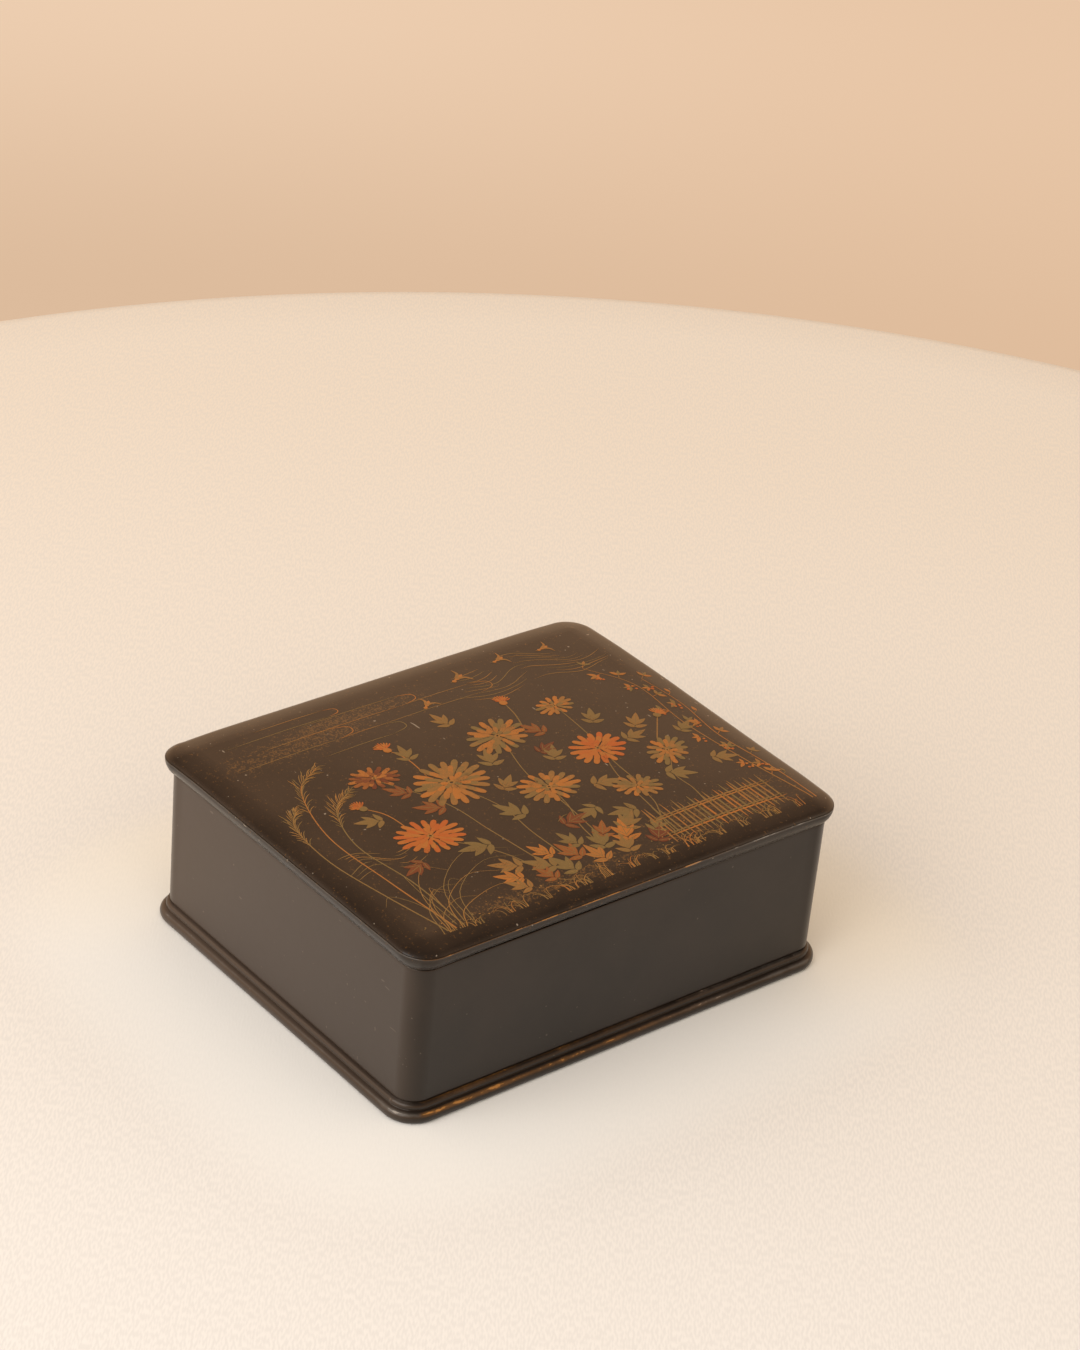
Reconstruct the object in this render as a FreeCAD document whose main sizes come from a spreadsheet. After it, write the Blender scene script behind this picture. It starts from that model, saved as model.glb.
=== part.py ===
import FreeCAD, Part
import math
import operator
import os

import Sketcher

# A lacquered writing box for brush and ink, in millimetres.
# The origin is on the table under the middle of the box. X runs along the long sides, the front
# faces -Y, and +Z is up. Every board, moulding and tool is a solid of its own.

SIZES = {
    # Carcase: four mitred wall boards with rounded corners. The box's width follows from the
    # longest tool and from the stone with its dropper.
    "wall_length": 222.4,
    "wall_height": 65.6,
    "wall_thickness": 5.0,
    "corner_radius": 10.0,
    "key_thickness": 1.0,
    "key_leg": 11.4,
    "key_spacing": 18.0,
    # Foot: a frame of moulded lengths under the walls, with a bead, a quirk and a small ovolo.
    "foot_height": 8.4,
    "foot_ledge": 6.0,
    "ovolo_radius": 2.0,
    "quirk_reach": 1.3,
    "quirk_height": 5.4,
    "bead_toe": 3.2,
    "bead_bulge": 2.43,
    "moulding_root": 3.0,
    "floor_thickness": 3.5,
    # Standing lip inside the walls, which finds the lid, and the ledge that carries the tray.
    "lip_thickness": 2.5,
    "lip_rise": 3.2,
    "lip_round": 0.8,
    "tray_seat_height": 35.0,
    "ledge_width": 4.0,
    "ledge_height": 5.0,
    # Lid: moulded rim lengths round a domed panel held by a tongue.
    "lid_overhang": 3.8,
    "lid_band_height": 7.8,
    "band_bulge": 1.115,
    "shoulder_width": 3.4,
    "shoulder_rise": 2.0,
    "shoulder_bulge": 0.288,
    "rim_width": 12.0,
    "rim_rise": 1.36,
    "rim_bulge": 0.19,
    "lid_headroom": 6.0,
    "lid_clearance": 0.5,
    "tongue_length": 3.0,
    "tongue_thickness": 1.8,
    "tongue_lift": 1.2,
    "panel_rise": 2.0,
    "hollow_margin": 8.0,
    "hollow_rise": 1.8,
    # Lift-out tray.
    "tray_clearance": 0.6,
    "tray_height": 26.0,
    "tray_thickness": 3.0,
    "tray_round": 1.0,
    "tray_floor_thickness": 3.0,
    "finger_notch_radius": 11.0,
    "divider_thickness": 3.0,
    "divider_drop": 3.0,
    "bed_border": 12.5,
    "bed_thickness": 8.0,
    # Inkstone, set in the front of the bed.
    "stone_length": 74.0,
    "stone_width": 104.0,
    "stone_height": 16.0,
    "stone_corner": 7.0,
    "stone_round": 1.0,
    "stone_margin": 6.0,
    "stone_border": 5.0,
    "land_depth": 2.2,
    "well_depth": 8.0,
    "well_length": 15.0,
    "shore_length": 22.0,
    "shore_bulge": 0.93,
    "hollow_corner": 6.0,
    "seat_clearance": 0.5,
    # Water dropper, set in the back of the bed.
    "dropper_length": 54.0,
    "dropper_width": 34.0,
    "dropper_height": 14.0,
    "dropper_corner": 7.0,
    "dropper_wall": 1.4,
    "dropper_top_thickness": 1.6,
    "dropper_margin": 5.0,
    "dropper_gap": 9.8,
    "dropper_round": 0.9,
    "drop_hole_radius": 1.2,
    "drop_boss_radius": 4.0,
    "drop_boss_height": 0.8,
    "vent_hole_offset": 19.0,
    # Notched rests for the brushes and the knife.
    "rest_depth": 7.0,
    "rest_height": 11.0,
    "rest_clearance": 0.3,
    "rest_round": 1.5,
    # Brushes: bamboo shaft with joints, horn collar, head of hair.
    "large_shaft_radius": 4.5,
    "large_shaft_length": 112.0,
    "large_hair_length": 31.0,
    "large_hair_belly": 4.6,
    "small_shaft_radius": 3.2,
    "small_shaft_length": 114.0,
    "small_hair_length": 24.0,
    "small_hair_belly": 3.1,
    "collar_length": 8.0,
    "collar_lip": 0.5,
    "collar_neck": 0.5,
    "hair_point": 0.3,
    "node_bulge": 0.25,
    "node_length": 2.4,
    "node_start": 20.0,
    "node_spacing": 34.0,
    "node_count": 3,
    "tail_round": 0.8,
    "brush_gap": 5.0,
    "point_gap": 2.8,
    # Paper knife.
    "handle_length": 88.0,
    "handle_width": 11.0,
    "handle_thickness": 6.5,
    "handle_corner": 3.0,
    "handle_round": 1.5,
    "knife_seat_depth": 4.0,
    "blade_length": 45.0,
    "blade_width": 9.0,
    "blade_thickness": 1.6,
    "blade_slant": 14.0,
    "blade_tang": 22.0,
    "tang_width": 6.0,
    "blade_bevel": 1.2,
    # Ink stick, flat on the tray floor between the rests.
    "stick_length": 58.0,
    "stick_width": 17.0,
    "stick_height": 9.0,
    "stick_gap": 2.5,
    "stick_corner": 2.0,
    "stick_round": 0.8,
    "stick_border": 2.0,
    "stick_panel_depth": 0.5,
}

SIDES = ("front", "right", "back", "left")
MITRE_REACH = 22.0
MITRE_MARGIN = 12.0
DOME_POWER = 2.2
DOME_STEPS = 12
DOME_DEPTH = 30.0
CROWN_REACH = 1.03
REST_SHARE = 0.55
QUARTER_BULGE = 1.0 - math.sqrt(0.5)

doc = FreeCAD.newDocument("WritingBox")
sheet = doc.addObject("Spreadsheet::Sheet", "Sizes")
words = []


def enter(word, content):
    """Writes a number or a formula into the sheet's next row, under its own name."""
    words.append(word)
    row = len(words)
    sheet.set("A%d" % row, word)
    sheet.set("B%d" % row, content)
    sheet.setAlias("B%d" % row, word)


for word, number in SIZES.items():
    enter(word, str(number))
doc.recompute()


class Size:
    """A length with the formula that gives it, so that an object can be bound to the sheet."""

    def __init__(self, value, formula):
        self.value = float(value)
        self.formula = formula

    def __add__(self, other):
        return combined(self, other, "+", operator.add)

    def __radd__(self, other):
        return combined(other, self, "+", operator.add)

    def __sub__(self, other):
        return combined(self, other, "-", operator.sub)

    def __rsub__(self, other):
        return combined(other, self, "-", operator.sub)

    def __mul__(self, other):
        return combined(self, other, "*", operator.mul)

    def __rmul__(self, other):
        return combined(other, self, "*", operator.mul)

    def __truediv__(self, other):
        return combined(self, other, "/", operator.truediv)

    def __neg__(self):
        return combined(0.0, self, "-", operator.sub)


def sized(number):
    return number if isinstance(number, Size) else Size(number, repr(float(number)))


def combined(left, right, sign, rule):
    left, right = sized(left), sized(right)
    return Size(rule(left.value, right.value), "(%s %s %s)" % (left.formula, sign, right.formula))


class Sheet:
    """Reads a cell of the sheet by its alias, as S.wall_length."""

    def __getattr__(self, word):
        return Size(getattr(sheet, word), "Sizes." + word)


S = Sheet()


def following(word, size):
    """A size that follows from the others, with a row of its own in the sheet."""
    enter(word, "=" + size.formula.replace("Sizes.", ""))
    doc.recompute()
    return Size(getattr(sheet, word), "Sizes." + word)


def largest(*sizes):
    return Size(max(size.value for size in sizes), "max(%s)" % "; ".join(size.formula for size in sizes))


def bind(thing, path, size):
    thing.setExpression(path, sized(size).formula)


def add(kind, name, **properties):
    thing = doc.addObject(kind, name)
    for prop, value in properties.items():
        if isinstance(value, Size):
            bind(thing, prop, value)
        else:
            setattr(thing, prop, value)
    return thing


# Insets of the nested rings, from the walls' outer face.

LIP_INSET = S.wall_thickness
LEDGE_INSET = LIP_INSET + S.lip_thickness
TRAY_INSET = LEDGE_INSET + S.tray_clearance
TRAY_INNER_INSET = TRAY_INSET + S.tray_thickness

# Along the tray: the bed with the stone, the divider, and the bay. Its tools share the room evenly.

BED_LENGTH = following("bed_length", S.stone_length + 2 * (S.seat_clearance + S.bed_border))
TRAY_INNER_LENGTH = following("tray_inner_length", S.wall_length - 2 * TRAY_INNER_INSET)
BAY_LENGTH = following("bay_length", TRAY_INNER_LENGTH - BED_LENGTH - S.divider_thickness)
LARGE_HALF = S.large_shaft_radius + S.collar_lip
SMALL_HALF = S.small_shaft_radius + S.collar_lip
TOOL_WIDTHS = 2 * LARGE_HALF + 2 * SMALL_HALF + S.handle_width + S.stick_width
TOOL_GAP = following("tool_gap", (BAY_LENGTH - TOOL_WIDTHS) / 5)
LARGE_OFFSET = following("large_offset", TOOL_GAP + LARGE_HALF)
SMALL_OFFSET = following("small_offset", LARGE_OFFSET + LARGE_HALF + TOOL_GAP + SMALL_HALF)
KNIFE_OFFSET = following("knife_offset", SMALL_OFFSET + SMALL_HALF + TOOL_GAP + S.handle_width / 2)
STICK_OFFSET = following("stick_offset", BAY_LENGTH - TOOL_GAP - S.stick_width / 2)

# Across the tray: the longest tool, or the stone with the dropper behind it.

REST_MIDDLE = following("rest_middle", S.brush_gap + REST_SHARE * S.large_shaft_length)
REST_REACH = S.stick_length / 2 + S.stick_gap + S.rest_depth / 2
LARGE_END = S.brush_gap + S.large_shaft_length + S.collar_length + S.large_hair_length
SMALL_END = S.brush_gap + S.small_shaft_length + S.collar_length + S.small_hair_length
KNIFE_END = REST_MIDDLE + S.handle_length / 2 + S.blade_length
TOOLS_END = following("tools_end", largest(LARGE_END, SMALL_END, KNIFE_END) + S.point_gap)
BED_WIDTH = S.stone_margin + S.stone_width + S.dropper_gap + S.dropper_width + S.dropper_margin
TRAY_INNER_WIDTH = following("tray_inner_width", largest(TOOLS_END, BED_WIDTH))
WALL_WIDTH = following("wall_width", TRAY_INNER_WIDTH + 2 * TRAY_INNER_INSET)

# Levels and outlines that several pieces share.

HALF_LENGTH = S.wall_length / 2
HALF_WIDTH = WALL_WIDTH / 2
JOINT_HEIGHT = S.foot_height + S.wall_height
LID_UNDERSIDE = JOINT_HEIGHT + S.lid_headroom
SHOULDER_HEIGHT = JOINT_HEIGHT + S.lid_band_height
RIM_HEIGHT = SHOULDER_HEIGHT + S.shoulder_rise + S.rim_rise
TRAY_FLOOR_TOP = S.tray_seat_height + S.tray_floor_thickness
TRAY_LEFT = -TRAY_INNER_LENGTH / 2
TRAY_FRONT = -TRAY_INNER_WIDTH / 2
BAY_LEFT = TRAY_LEFT + BED_LENGTH + S.divider_thickness
RESTS_PLACE = TRAY_FRONT + REST_MIDDLE
SHAFT_HEIGHT = TRAY_FLOOR_TOP + S.rest_height


# Sketches.

def new_body(name):
    return doc.addObject("PartDesign::Body", name)


def new_sketch(body, name, role="XY_Plane", x=0.0, y=0.0, z=0.0):
    """A sketch on one of the body's own planes, moved in its own axes by x, y and z."""
    sketch = body.newObject("Sketcher::SketchObject", name)
    plane = [item for item in body.Origin.OriginFeatures if item.Role == role][0]
    sketch.AttachmentSupport = [(plane, "")]
    sketch.MapMode = "FlatFace"
    for axis, shift in zip("xyz", (x, y, z)):
        bind(sketch, "AttachmentOffset.Base." + axis, shift)
    return sketch


def constrain(sketch, kind, *places):
    """Adds a constraint. A Size as the last place is a dimension, bound to the sheet."""
    if not isinstance(places[-1], Size):
        return sketch.addConstraint(Sketcher.Constraint(kind, *places))
    index = sketch.addConstraint(Sketcher.Constraint(kind, *places[:-1], places[-1].value))
    bind(sketch, "Constraints[%d]" % index, places[-1])
    return index


def rectangle(sketch, length, width, radius=None):
    """A centred rectangle, with round corners where a radius is given."""
    length, width = sized(length), sized(width)
    round_by = radius.value if radius else 0.0
    across, along = length.value / 2, width.value / 2
    near = FreeCAD.Vector
    flat, tall = across - round_by, along - round_by
    ends = [
        (near(-flat, -along), near(flat, -along)),
        (near(across, -tall), near(across, tall)),
        (near(flat, along), near(-flat, along)),
        (near(-across, tall), near(-across, -tall)),
    ]
    lines = [sketch.addGeometry(Part.LineSegment(*pair)) for pair in ends]
    for line, kind in zip(lines, ("Horizontal", "Vertical", "Horizontal", "Vertical")):
        constrain(sketch, kind, line)
    if radius:
        middles = [near(flat, -tall), near(flat, tall), near(-flat, tall), near(-flat, -tall)]
        arcs = []
        for step, middle in enumerate(middles):
            start = math.radians(-90 + 90 * step)
            circle = Part.Circle(middle, near(0, 0, 1), round_by)
            arcs.append(sketch.addGeometry(Part.ArcOfCircle(circle, start, start + math.pi / 2)))
        for step, arc in enumerate(arcs):
            constrain(sketch, "Tangent", lines[step], 2, arc, 1)
            constrain(sketch, "Tangent", arc, 2, lines[(step + 1) % 4], 1)
        for arc in arcs[1:]:
            constrain(sketch, "Equal", arcs[0], arc)
        constrain(sketch, "Radius", arcs[0], radius)
        constrain(sketch, "Symmetric", arcs[0], 3, arcs[2], 3, -1, 1)
    else:
        for step, line in enumerate(lines):
            constrain(sketch, "Coincident", line, 2, lines[(step + 1) % 4], 1)
        constrain(sketch, "Symmetric", lines[0], 1, lines[2], 1, -1, 1)
    constrain(sketch, "DistanceX", lines[3], 1, lines[1], 1, length)
    constrain(sketch, "DistanceY", lines[0], 1, lines[2], 1, width)


def pin_point(sketch, shape, end, x, y):
    """Holds one end of a line or arc at x, y, measured from the sketch's origin."""
    for kind, place, axis in (("DistanceX", x, -2), ("DistanceY", y, -1)):
        place = sized(place)
        if abs(place.value) < 1e-9:
            constrain(sketch, "PointOnObject", shape, end, axis)
        elif place.value > 0:
            constrain(sketch, kind, -1, 1, shape, end, place)
        else:
            constrain(sketch, kind, shape, end, -1, 1, -place)


def profile(sketch, corners):
    """A closed outline. Each corner is (x, y) or (x, y, bulge). The bulge makes the stretch to
    the next corner an arc that stands out that far: to the right of the way for a positive one."""
    points = [FreeCAD.Vector(sized(c[0]).value, sized(c[1]).value, 0) for c in corners]
    shapes = []
    for step, corner in enumerate(corners):
        start, end = points[step], points[(step + 1) % len(points)]
        if len(corner) == 2:
            shapes.append((sketch.addGeometry(Part.LineSegment(start, end)), 1, 2))
            continue
        side = 1 if corner[2].value > 0 else -1
        bulge = corner[2] * side
        x_run, y_run = (sized(corners[(step + 1) % len(corners)][axis]) - corner[axis] for axis in (0, 1))
        radius = (x_run * x_run + y_run * y_run) / (8 * bulge) + bulge / 2
        chord = end - start
        across = FreeCAD.Vector(-chord.y, chord.x, 0).normalize() * side
        middle = (start + end) / 2 + across * (radius.value - bulge.value)
        turn = [math.atan2(p.y - middle.y, p.x - middle.x) for p in (start, end)]
        if side < 0:
            turn.reverse()
        circle = Part.Circle(middle, FreeCAD.Vector(0, 0, 1), radius.value)
        arc = sketch.addGeometry(Part.ArcOfCircle(circle, turn[0], turn[1]))
        constrain(sketch, "Radius", arc, radius)
        shapes.append((arc, 1, 2) if side > 0 else (arc, 2, 1))
    for step, (shape, first, last) in enumerate(shapes):
        following, next_first, _ = shapes[(step + 1) % len(shapes)]
        constrain(sketch, "Coincident", shape, last, following, next_first)
        pin_point(sketch, shape, first, corners[step][0], corners[step][1])


# Features.

def pad(body, sketch, height, midplane=False):
    feature = body.newObject("PartDesign::Pad", sketch.Name + "_pad")
    feature.Profile = sketch
    feature.SideType = "Symmetric" if midplane else "One side"
    bind(feature, "Length", height)
    return feature


def pocket(body, sketch, depth, midplane=False):
    feature = body.newObject("PartDesign::Pocket", sketch.Name + "_pocket")
    feature.Profile = sketch
    feature.SideType = "Symmetric" if midplane else "One side"
    bind(feature, "Length", depth)
    return feature


def revolve(body, sketch):
    feature = body.newObject("PartDesign::Revolution", sketch.Name + "_turn")
    feature.Profile = sketch
    feature.ReferenceAxis = (sketch, ["V_Axis"])
    feature.Angle = 360.0
    return feature


def edges_at(shape, height):
    """The names of the edges that lie flat at one height."""
    names = []
    for number, edge in enumerate(shape.Edges, start=1):
        box = edge.BoundBox
        if abs(box.ZMin - height) < 1e-4 and abs(box.ZMax - height) < 1e-4:
            names.append("Edge%d" % number)
    return names


def soften(body, feature, height, radius):
    """Rounds the edges of a feature that lie flat at one height."""
    doc.recompute()
    fillet = body.newObject("PartDesign::Fillet", feature.Name + "_round")
    fillet.Base = (feature, edges_at(feature.Shape, sized(height).value))
    bind(fillet, "Radius", radius)
    return fillet


def place(thing, x=0.0, y=0.0, z=0.0):
    for axis, shift in zip("xyz", (x, y, z)):
        bind(thing, "Placement.Base." + axis, shift)


# Frames: rings of the box's own outline, moved in or out, which are mitred into four lengths.

def outline(sketch, inset=0.0):
    """The walls' outline moved inwards by inset."""
    radius = S.corner_radius - inset
    rounded = radius if radius.value > 0.2 else None
    rectangle(sketch, S.wall_length - 2 * inset, WALL_WIDTH - 2 * inset, rounded)


def frame(name, inset, thickness, low, height, top_round=None):
    """A ring of boards, with its outer face at inset from the walls' outer face."""
    body = new_body(name)
    ring = new_sketch(body, name + "_plan", z=low)
    outline(ring, inset)
    outline(ring, inset + thickness)
    feature = pad(body, ring, height)
    if top_round is not None:
        soften(body, feature, low + height, top_round)
    return body


def quarter_turn(quarter):
    return FreeCAD.Rotation(FreeCAD.Vector(0, 0, 1), 90.0 * quarter)


def mitre_wedges():
    """Four blocks with sloping ends that meet on the corners' diagonals."""
    wedges = {}
    for quarter, side in enumerate(SIDES):
        half_span, half_depth = HALF_LENGTH, HALF_WIDTH
        if quarter % 2:
            half_span, half_depth = HALF_WIDTH, HALF_LENGTH
        outer, inner = half_span + MITRE_MARGIN, half_span - MITRE_REACH
        wedge = add(
            "Part::Wedge", "mitre_" + side,
            Xmin=-outer, Xmax=outer, X2min=-inner, X2max=inner,
            Ymin=-half_depth - MITRE_MARGIN, Ymax=-half_depth + MITRE_REACH,
            Zmin=sized(-MITRE_MARGIN), Z2min=sized(-MITRE_MARGIN),
            Zmax=RIM_HEIGHT + MITRE_MARGIN, Z2max=RIM_HEIGHT + MITRE_MARGIN,
        )
        wedge.Placement.Rotation = quarter_turn(quarter)
        wedges[side] = wedge
    return wedges


def mitred(ring, stem, wedges):
    """Cuts a ring into its four lengths, one for each side."""
    lengths = []
    for side, wedge in wedges.items():
        lengths.append(add("Part::Common", "%s_%s" % (stem, side), Base=ring, Tool=wedge))
    return lengths


# Carcase.

def foot_ring():
    """The foot frame: a rebated frame under the walls, with the moulding swept round it."""
    body = new_body("foot_ring")
    plan = new_sketch(body, "foot_plan")
    outline(plan)
    outline(plan, LIP_INSET + S.foot_ledge)
    pad(body, plan, S.foot_height)
    rebate = new_sketch(body, "foot_rebate", z=S.foot_height)
    outline(rebate, LIP_INSET)
    pocket(body, rebate, S.floor_thickness)
    path = new_sketch(body, "foot_path")
    outline(path)
    section = new_sketch(body, "foot_section", "XZ_Plane")
    face = HALF_LENGTH
    profile(section, [
        (face - S.moulding_root, 0.0),
        (face + S.bead_toe, 0.0, S.bead_bulge),
        (face + S.quirk_reach, S.quirk_height),
        (face + S.ovolo_radius, S.foot_height - S.ovolo_radius, QUARTER_BULGE * S.ovolo_radius),
        (face, S.foot_height),
        (face - S.moulding_root, S.foot_height),
    ])
    sweep = body.newObject("PartDesign::AdditivePipe", "foot_moulding")
    sweep.Profile = section
    sweep.Spine = path
    return body


def key_slots():
    """Thin three-cornered slots across each mitre, at three levels, which the keys fill."""
    middle = S.foot_height + S.wall_height / 2 - S.key_thickness / 2
    slots = []
    for quarter, (x, y) in enumerate(((-1, -1), (1, -1), (1, 1), (-1, 1))):
        for level in (-1, 0, 1):
            slot = add(
                "Part::Wedge", "key_slot_%d_%d" % (quarter, level + 1),
                Xmin=0.0, Xmax=S.key_leg, X2min=0.0, X2max=0.0, Ymin=0.0, Ymax=S.key_leg,
                Zmin=0.0, Z2min=0.0, Zmax=S.key_thickness, Z2max=S.key_thickness,
            )
            slot.Placement.Rotation = quarter_turn(quarter)
            place(slot, x * HALF_LENGTH, y * HALF_WIDTH, middle + level * S.key_spacing)
            slots.append(slot)
    return add("Part::MultiFuse", "key_slots", Shapes=slots)


def carcase(wedges):
    """Foot, floor, walls with their corner keys, standing lip and tray ledge."""
    walls = frame("wall_ring", sized(0.0), S.wall_thickness, S.foot_height, S.wall_height)
    slots = key_slots()
    keyed = add("Part::Cut", "keyed_wall_ring", Base=walls, Tool=slots)
    keys = add("Part::Common", "corner_keys", Base=walls, Tool=slots)
    floor = new_body("floor_board")
    floor_plan = new_sketch(floor, "floor_plan", z=S.foot_height - S.floor_thickness)
    outline(floor_plan, LIP_INSET)
    pad(floor, floor_plan, S.floor_thickness)
    lip_height = S.wall_height + S.lip_rise
    lip = frame("lip_ring", LIP_INSET, S.lip_thickness, S.foot_height, lip_height, S.lip_round)
    ledge_low = S.tray_seat_height - S.ledge_height
    ledge = frame("ledge_ring", LEDGE_INSET, S.ledge_width, ledge_low, S.ledge_height)
    pieces = [keys, floor]
    for ring, stem in ((foot_ring(), "foot"), (keyed, "wall"), (lip, "lip"), (ledge, "tray_ledge")):
        pieces += mitred(ring, stem, wedges)
    return pieces


# Lid.

def dome(name, length, width, base, rise, reach):
    """A block under a pillow-shaped surface: flat along the sides, highest in the middle.
    The surface stands on a rectangle at base, and reach carries it past the rectangle's edge."""
    steps = [reach * (2.0 * step / DOME_STEPS - 1.0) for step in range(DOME_STEPS + 1)]
    grid = []
    for u in steps:
        across = 1.0 - abs(u) ** DOME_POWER
        row = []
        for v in steps:
            lift = rise.value * across * (1.0 - abs(v) ** DOME_POWER)
            row.append(FreeCAD.Vector(u * length.value / 2, v * width.value / 2, base.value + lift))
        grid.append(row)
    surface = Part.BSplineSurface()
    surface.interpolate(grid)
    block = doc.addObject("Part::Feature", name)
    block.Shape = surface.toShape().extrude(FreeCAD.Vector(0, 0, -DOME_DEPTH))
    return block


def lid_ring():
    """The lid's moulding: a band that turns under to the joint, an arris, and a soft shoulder."""
    body = new_body("lid_ring")
    path = new_sketch(body, "lid_path")
    outline(path)
    section = new_sketch(body, "lid_section", "XZ_Plane")
    arris = HALF_LENGTH + S.lid_overhang
    inside = HALF_LENGTH - S.wall_thickness + S.lid_clearance
    profile(section, [
        (inside, JOINT_HEIGHT),
        (HALF_LENGTH, JOINT_HEIGHT, S.band_bulge),
        (arris, SHOULDER_HEIGHT, S.shoulder_bulge),
        (arris - S.shoulder_width, SHOULDER_HEIGHT + S.shoulder_rise, S.rim_bulge),
        (arris - S.rim_width, RIM_HEIGHT),
        (arris - S.rim_width, LID_UNDERSIDE),
        (inside, LID_UNDERSIDE),
    ])
    sweep = body.newObject("PartDesign::AdditivePipe", "lid_moulding")
    sweep.Profile = section
    sweep.Spine = path
    return body


def board(name, inset, low, height):
    """A flat board with the walls' outline moved inwards by inset."""
    body = new_body(name)
    plan = new_sketch(body, name + "_plan", z=low)
    outline(plan, inset)
    pad(body, plan, height)
    return body


def lid(wedges):
    inset = S.rim_width - S.lid_overhang
    length, width = S.wall_length - 2 * inset, WALL_WIDTH - 2 * inset
    blank = board("panel_blank", inset, LID_UNDERSIDE, RIM_HEIGHT + S.panel_rise + 1.0 - LID_UNDERSIDE)
    crown = dome("panel_crown", length, width, RIM_HEIGHT, S.panel_rise, CROWN_REACH)
    tongue = board("panel_tongue", inset - S.tongue_length, LID_UNDERSIDE + S.tongue_lift, S.tongue_thickness)
    hollow_length, hollow_width = length - 2 * S.hollow_margin, width - 2 * S.hollow_margin
    hollow = dome("panel_hollow", hollow_length, hollow_width, LID_UNDERSIDE, S.hollow_rise, 1.0)
    crowned = add("Part::Common", "crowned_panel", Base=blank, Tool=crown)
    hollowed = add("Part::Cut", "hollowed_panel", Base=crowned, Tool=hollow)
    panel = add("Part::Fuse", "lid_panel", Base=hollowed, Tool=tongue)
    grooved = add("Part::Cut", "grooved_lid_ring", Base=lid_ring(), Tool=tongue)
    return [panel] + mitred(grooved, "lid_rim", wedges)


# Tray.

def tray(wedges):
    low = S.tray_seat_height
    sides = frame("tray_ring", TRAY_INSET, S.tray_thickness, low, S.tray_height, S.tray_round)
    notch = add("Part::Cylinder", "finger_notch", Radius=S.finger_notch_radius, Height=S.wall_length)
    notch.Placement.Rotation = FreeCAD.Rotation(FreeCAD.Vector(0, 1, 0), 90)
    place(notch, -HALF_LENGTH, 0.0, low + S.tray_height)
    notched = add("Part::Cut", "notched_tray_ring", Base=sides, Tool=notch)
    floor = board("tray_floor", TRAY_INNER_INSET, low, S.tray_floor_thickness)
    return [floor, tray_divider(), inkstone_bed()] + mitred(notched, "tray_side", wedges)


def tray_divider():
    body = new_body("tray_divider")
    plan = new_sketch(body, "divider_plan")
    rectangle(plan, S.divider_thickness, TRAY_INNER_WIDTH)
    height = S.tray_height - S.tray_floor_thickness - S.divider_drop
    soften(body, pad(body, plan, height), height, S.tray_round)
    place(body, BAY_LEFT - S.divider_thickness / 2, 0.0, TRAY_FLOOR_TOP)
    return body


STONE_PLACE = TRAY_FRONT + S.stone_margin + S.stone_width / 2
DROPPER_PLACE = -TRAY_FRONT - S.dropper_margin - S.dropper_width / 2
BED_PLACE = TRAY_LEFT + BED_LENGTH / 2


def inkstone_bed():
    """The board round the stone and the dropper, with a seat cut through it for each."""
    body = new_body("inkstone_bed")
    plan = new_sketch(body, "bed_plan")
    rectangle(plan, BED_LENGTH, TRAY_INNER_WIDTH)
    pad(body, plan, S.bed_thickness)
    gap = 2 * S.seat_clearance
    stone = new_sketch(body, "stone_seat", y=STONE_PLACE, z=S.bed_thickness)
    rectangle(stone, S.stone_length + gap, S.stone_width + gap, S.stone_corner + S.seat_clearance)
    pocket(body, stone, S.bed_thickness)
    dropper = new_sketch(body, "dropper_seat", y=DROPPER_PLACE, z=S.bed_thickness)
    rectangle(dropper, S.dropper_length + gap, S.dropper_width + gap, S.dropper_corner + S.seat_clearance)
    pocket(body, dropper, S.bed_thickness)
    place(body, BED_PLACE, 0.0, TRAY_FLOOR_TOP)
    return body


def circle(sketch, x, y, radius):
    """A circle held at x, y from the sketch's origin."""
    centre = FreeCAD.Vector(sized(x).value, sized(y).value, 0)
    shape = sketch.addGeometry(Part.Circle(centre, FreeCAD.Vector(0, 0, 1), radius.value))
    constrain(sketch, "Radius", shape, radius)
    pin_point(sketch, shape, 3, x, y)


def brush_rest(name, y):
    """A bar with a round notch for each brush and a flat seat for the knife."""
    body = new_body(name)
    plan = new_sketch(body, name + "_plan")
    rectangle(plan, BAY_LENGTH, S.rest_depth)
    soften(body, pad(body, plan, S.rest_height), S.rest_height, S.rest_round)
    start = -BAY_LENGTH / 2
    notches = new_sketch(body, name + "_notches", "XZ_Plane")
    for offset, radius in ((LARGE_OFFSET, S.large_shaft_radius), (SMALL_OFFSET, S.small_shaft_radius)):
        circle(notches, start + offset, S.rest_height, radius + S.rest_clearance)
    pocket(body, notches, 2 * S.rest_depth, midplane=True)
    seat = new_sketch(body, name + "_seat", "XZ_Plane", x=start + KNIFE_OFFSET, y=S.rest_height)
    rectangle(seat, S.handle_width + 2 * S.rest_clearance, 2 * S.knife_seat_depth)
    pocket(body, seat, 2 * S.rest_depth, midplane=True)
    place(body, BAY_LEFT + BAY_LENGTH / 2, y, TRAY_FLOOR_TOP)
    return body


# What the tray holds.

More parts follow.
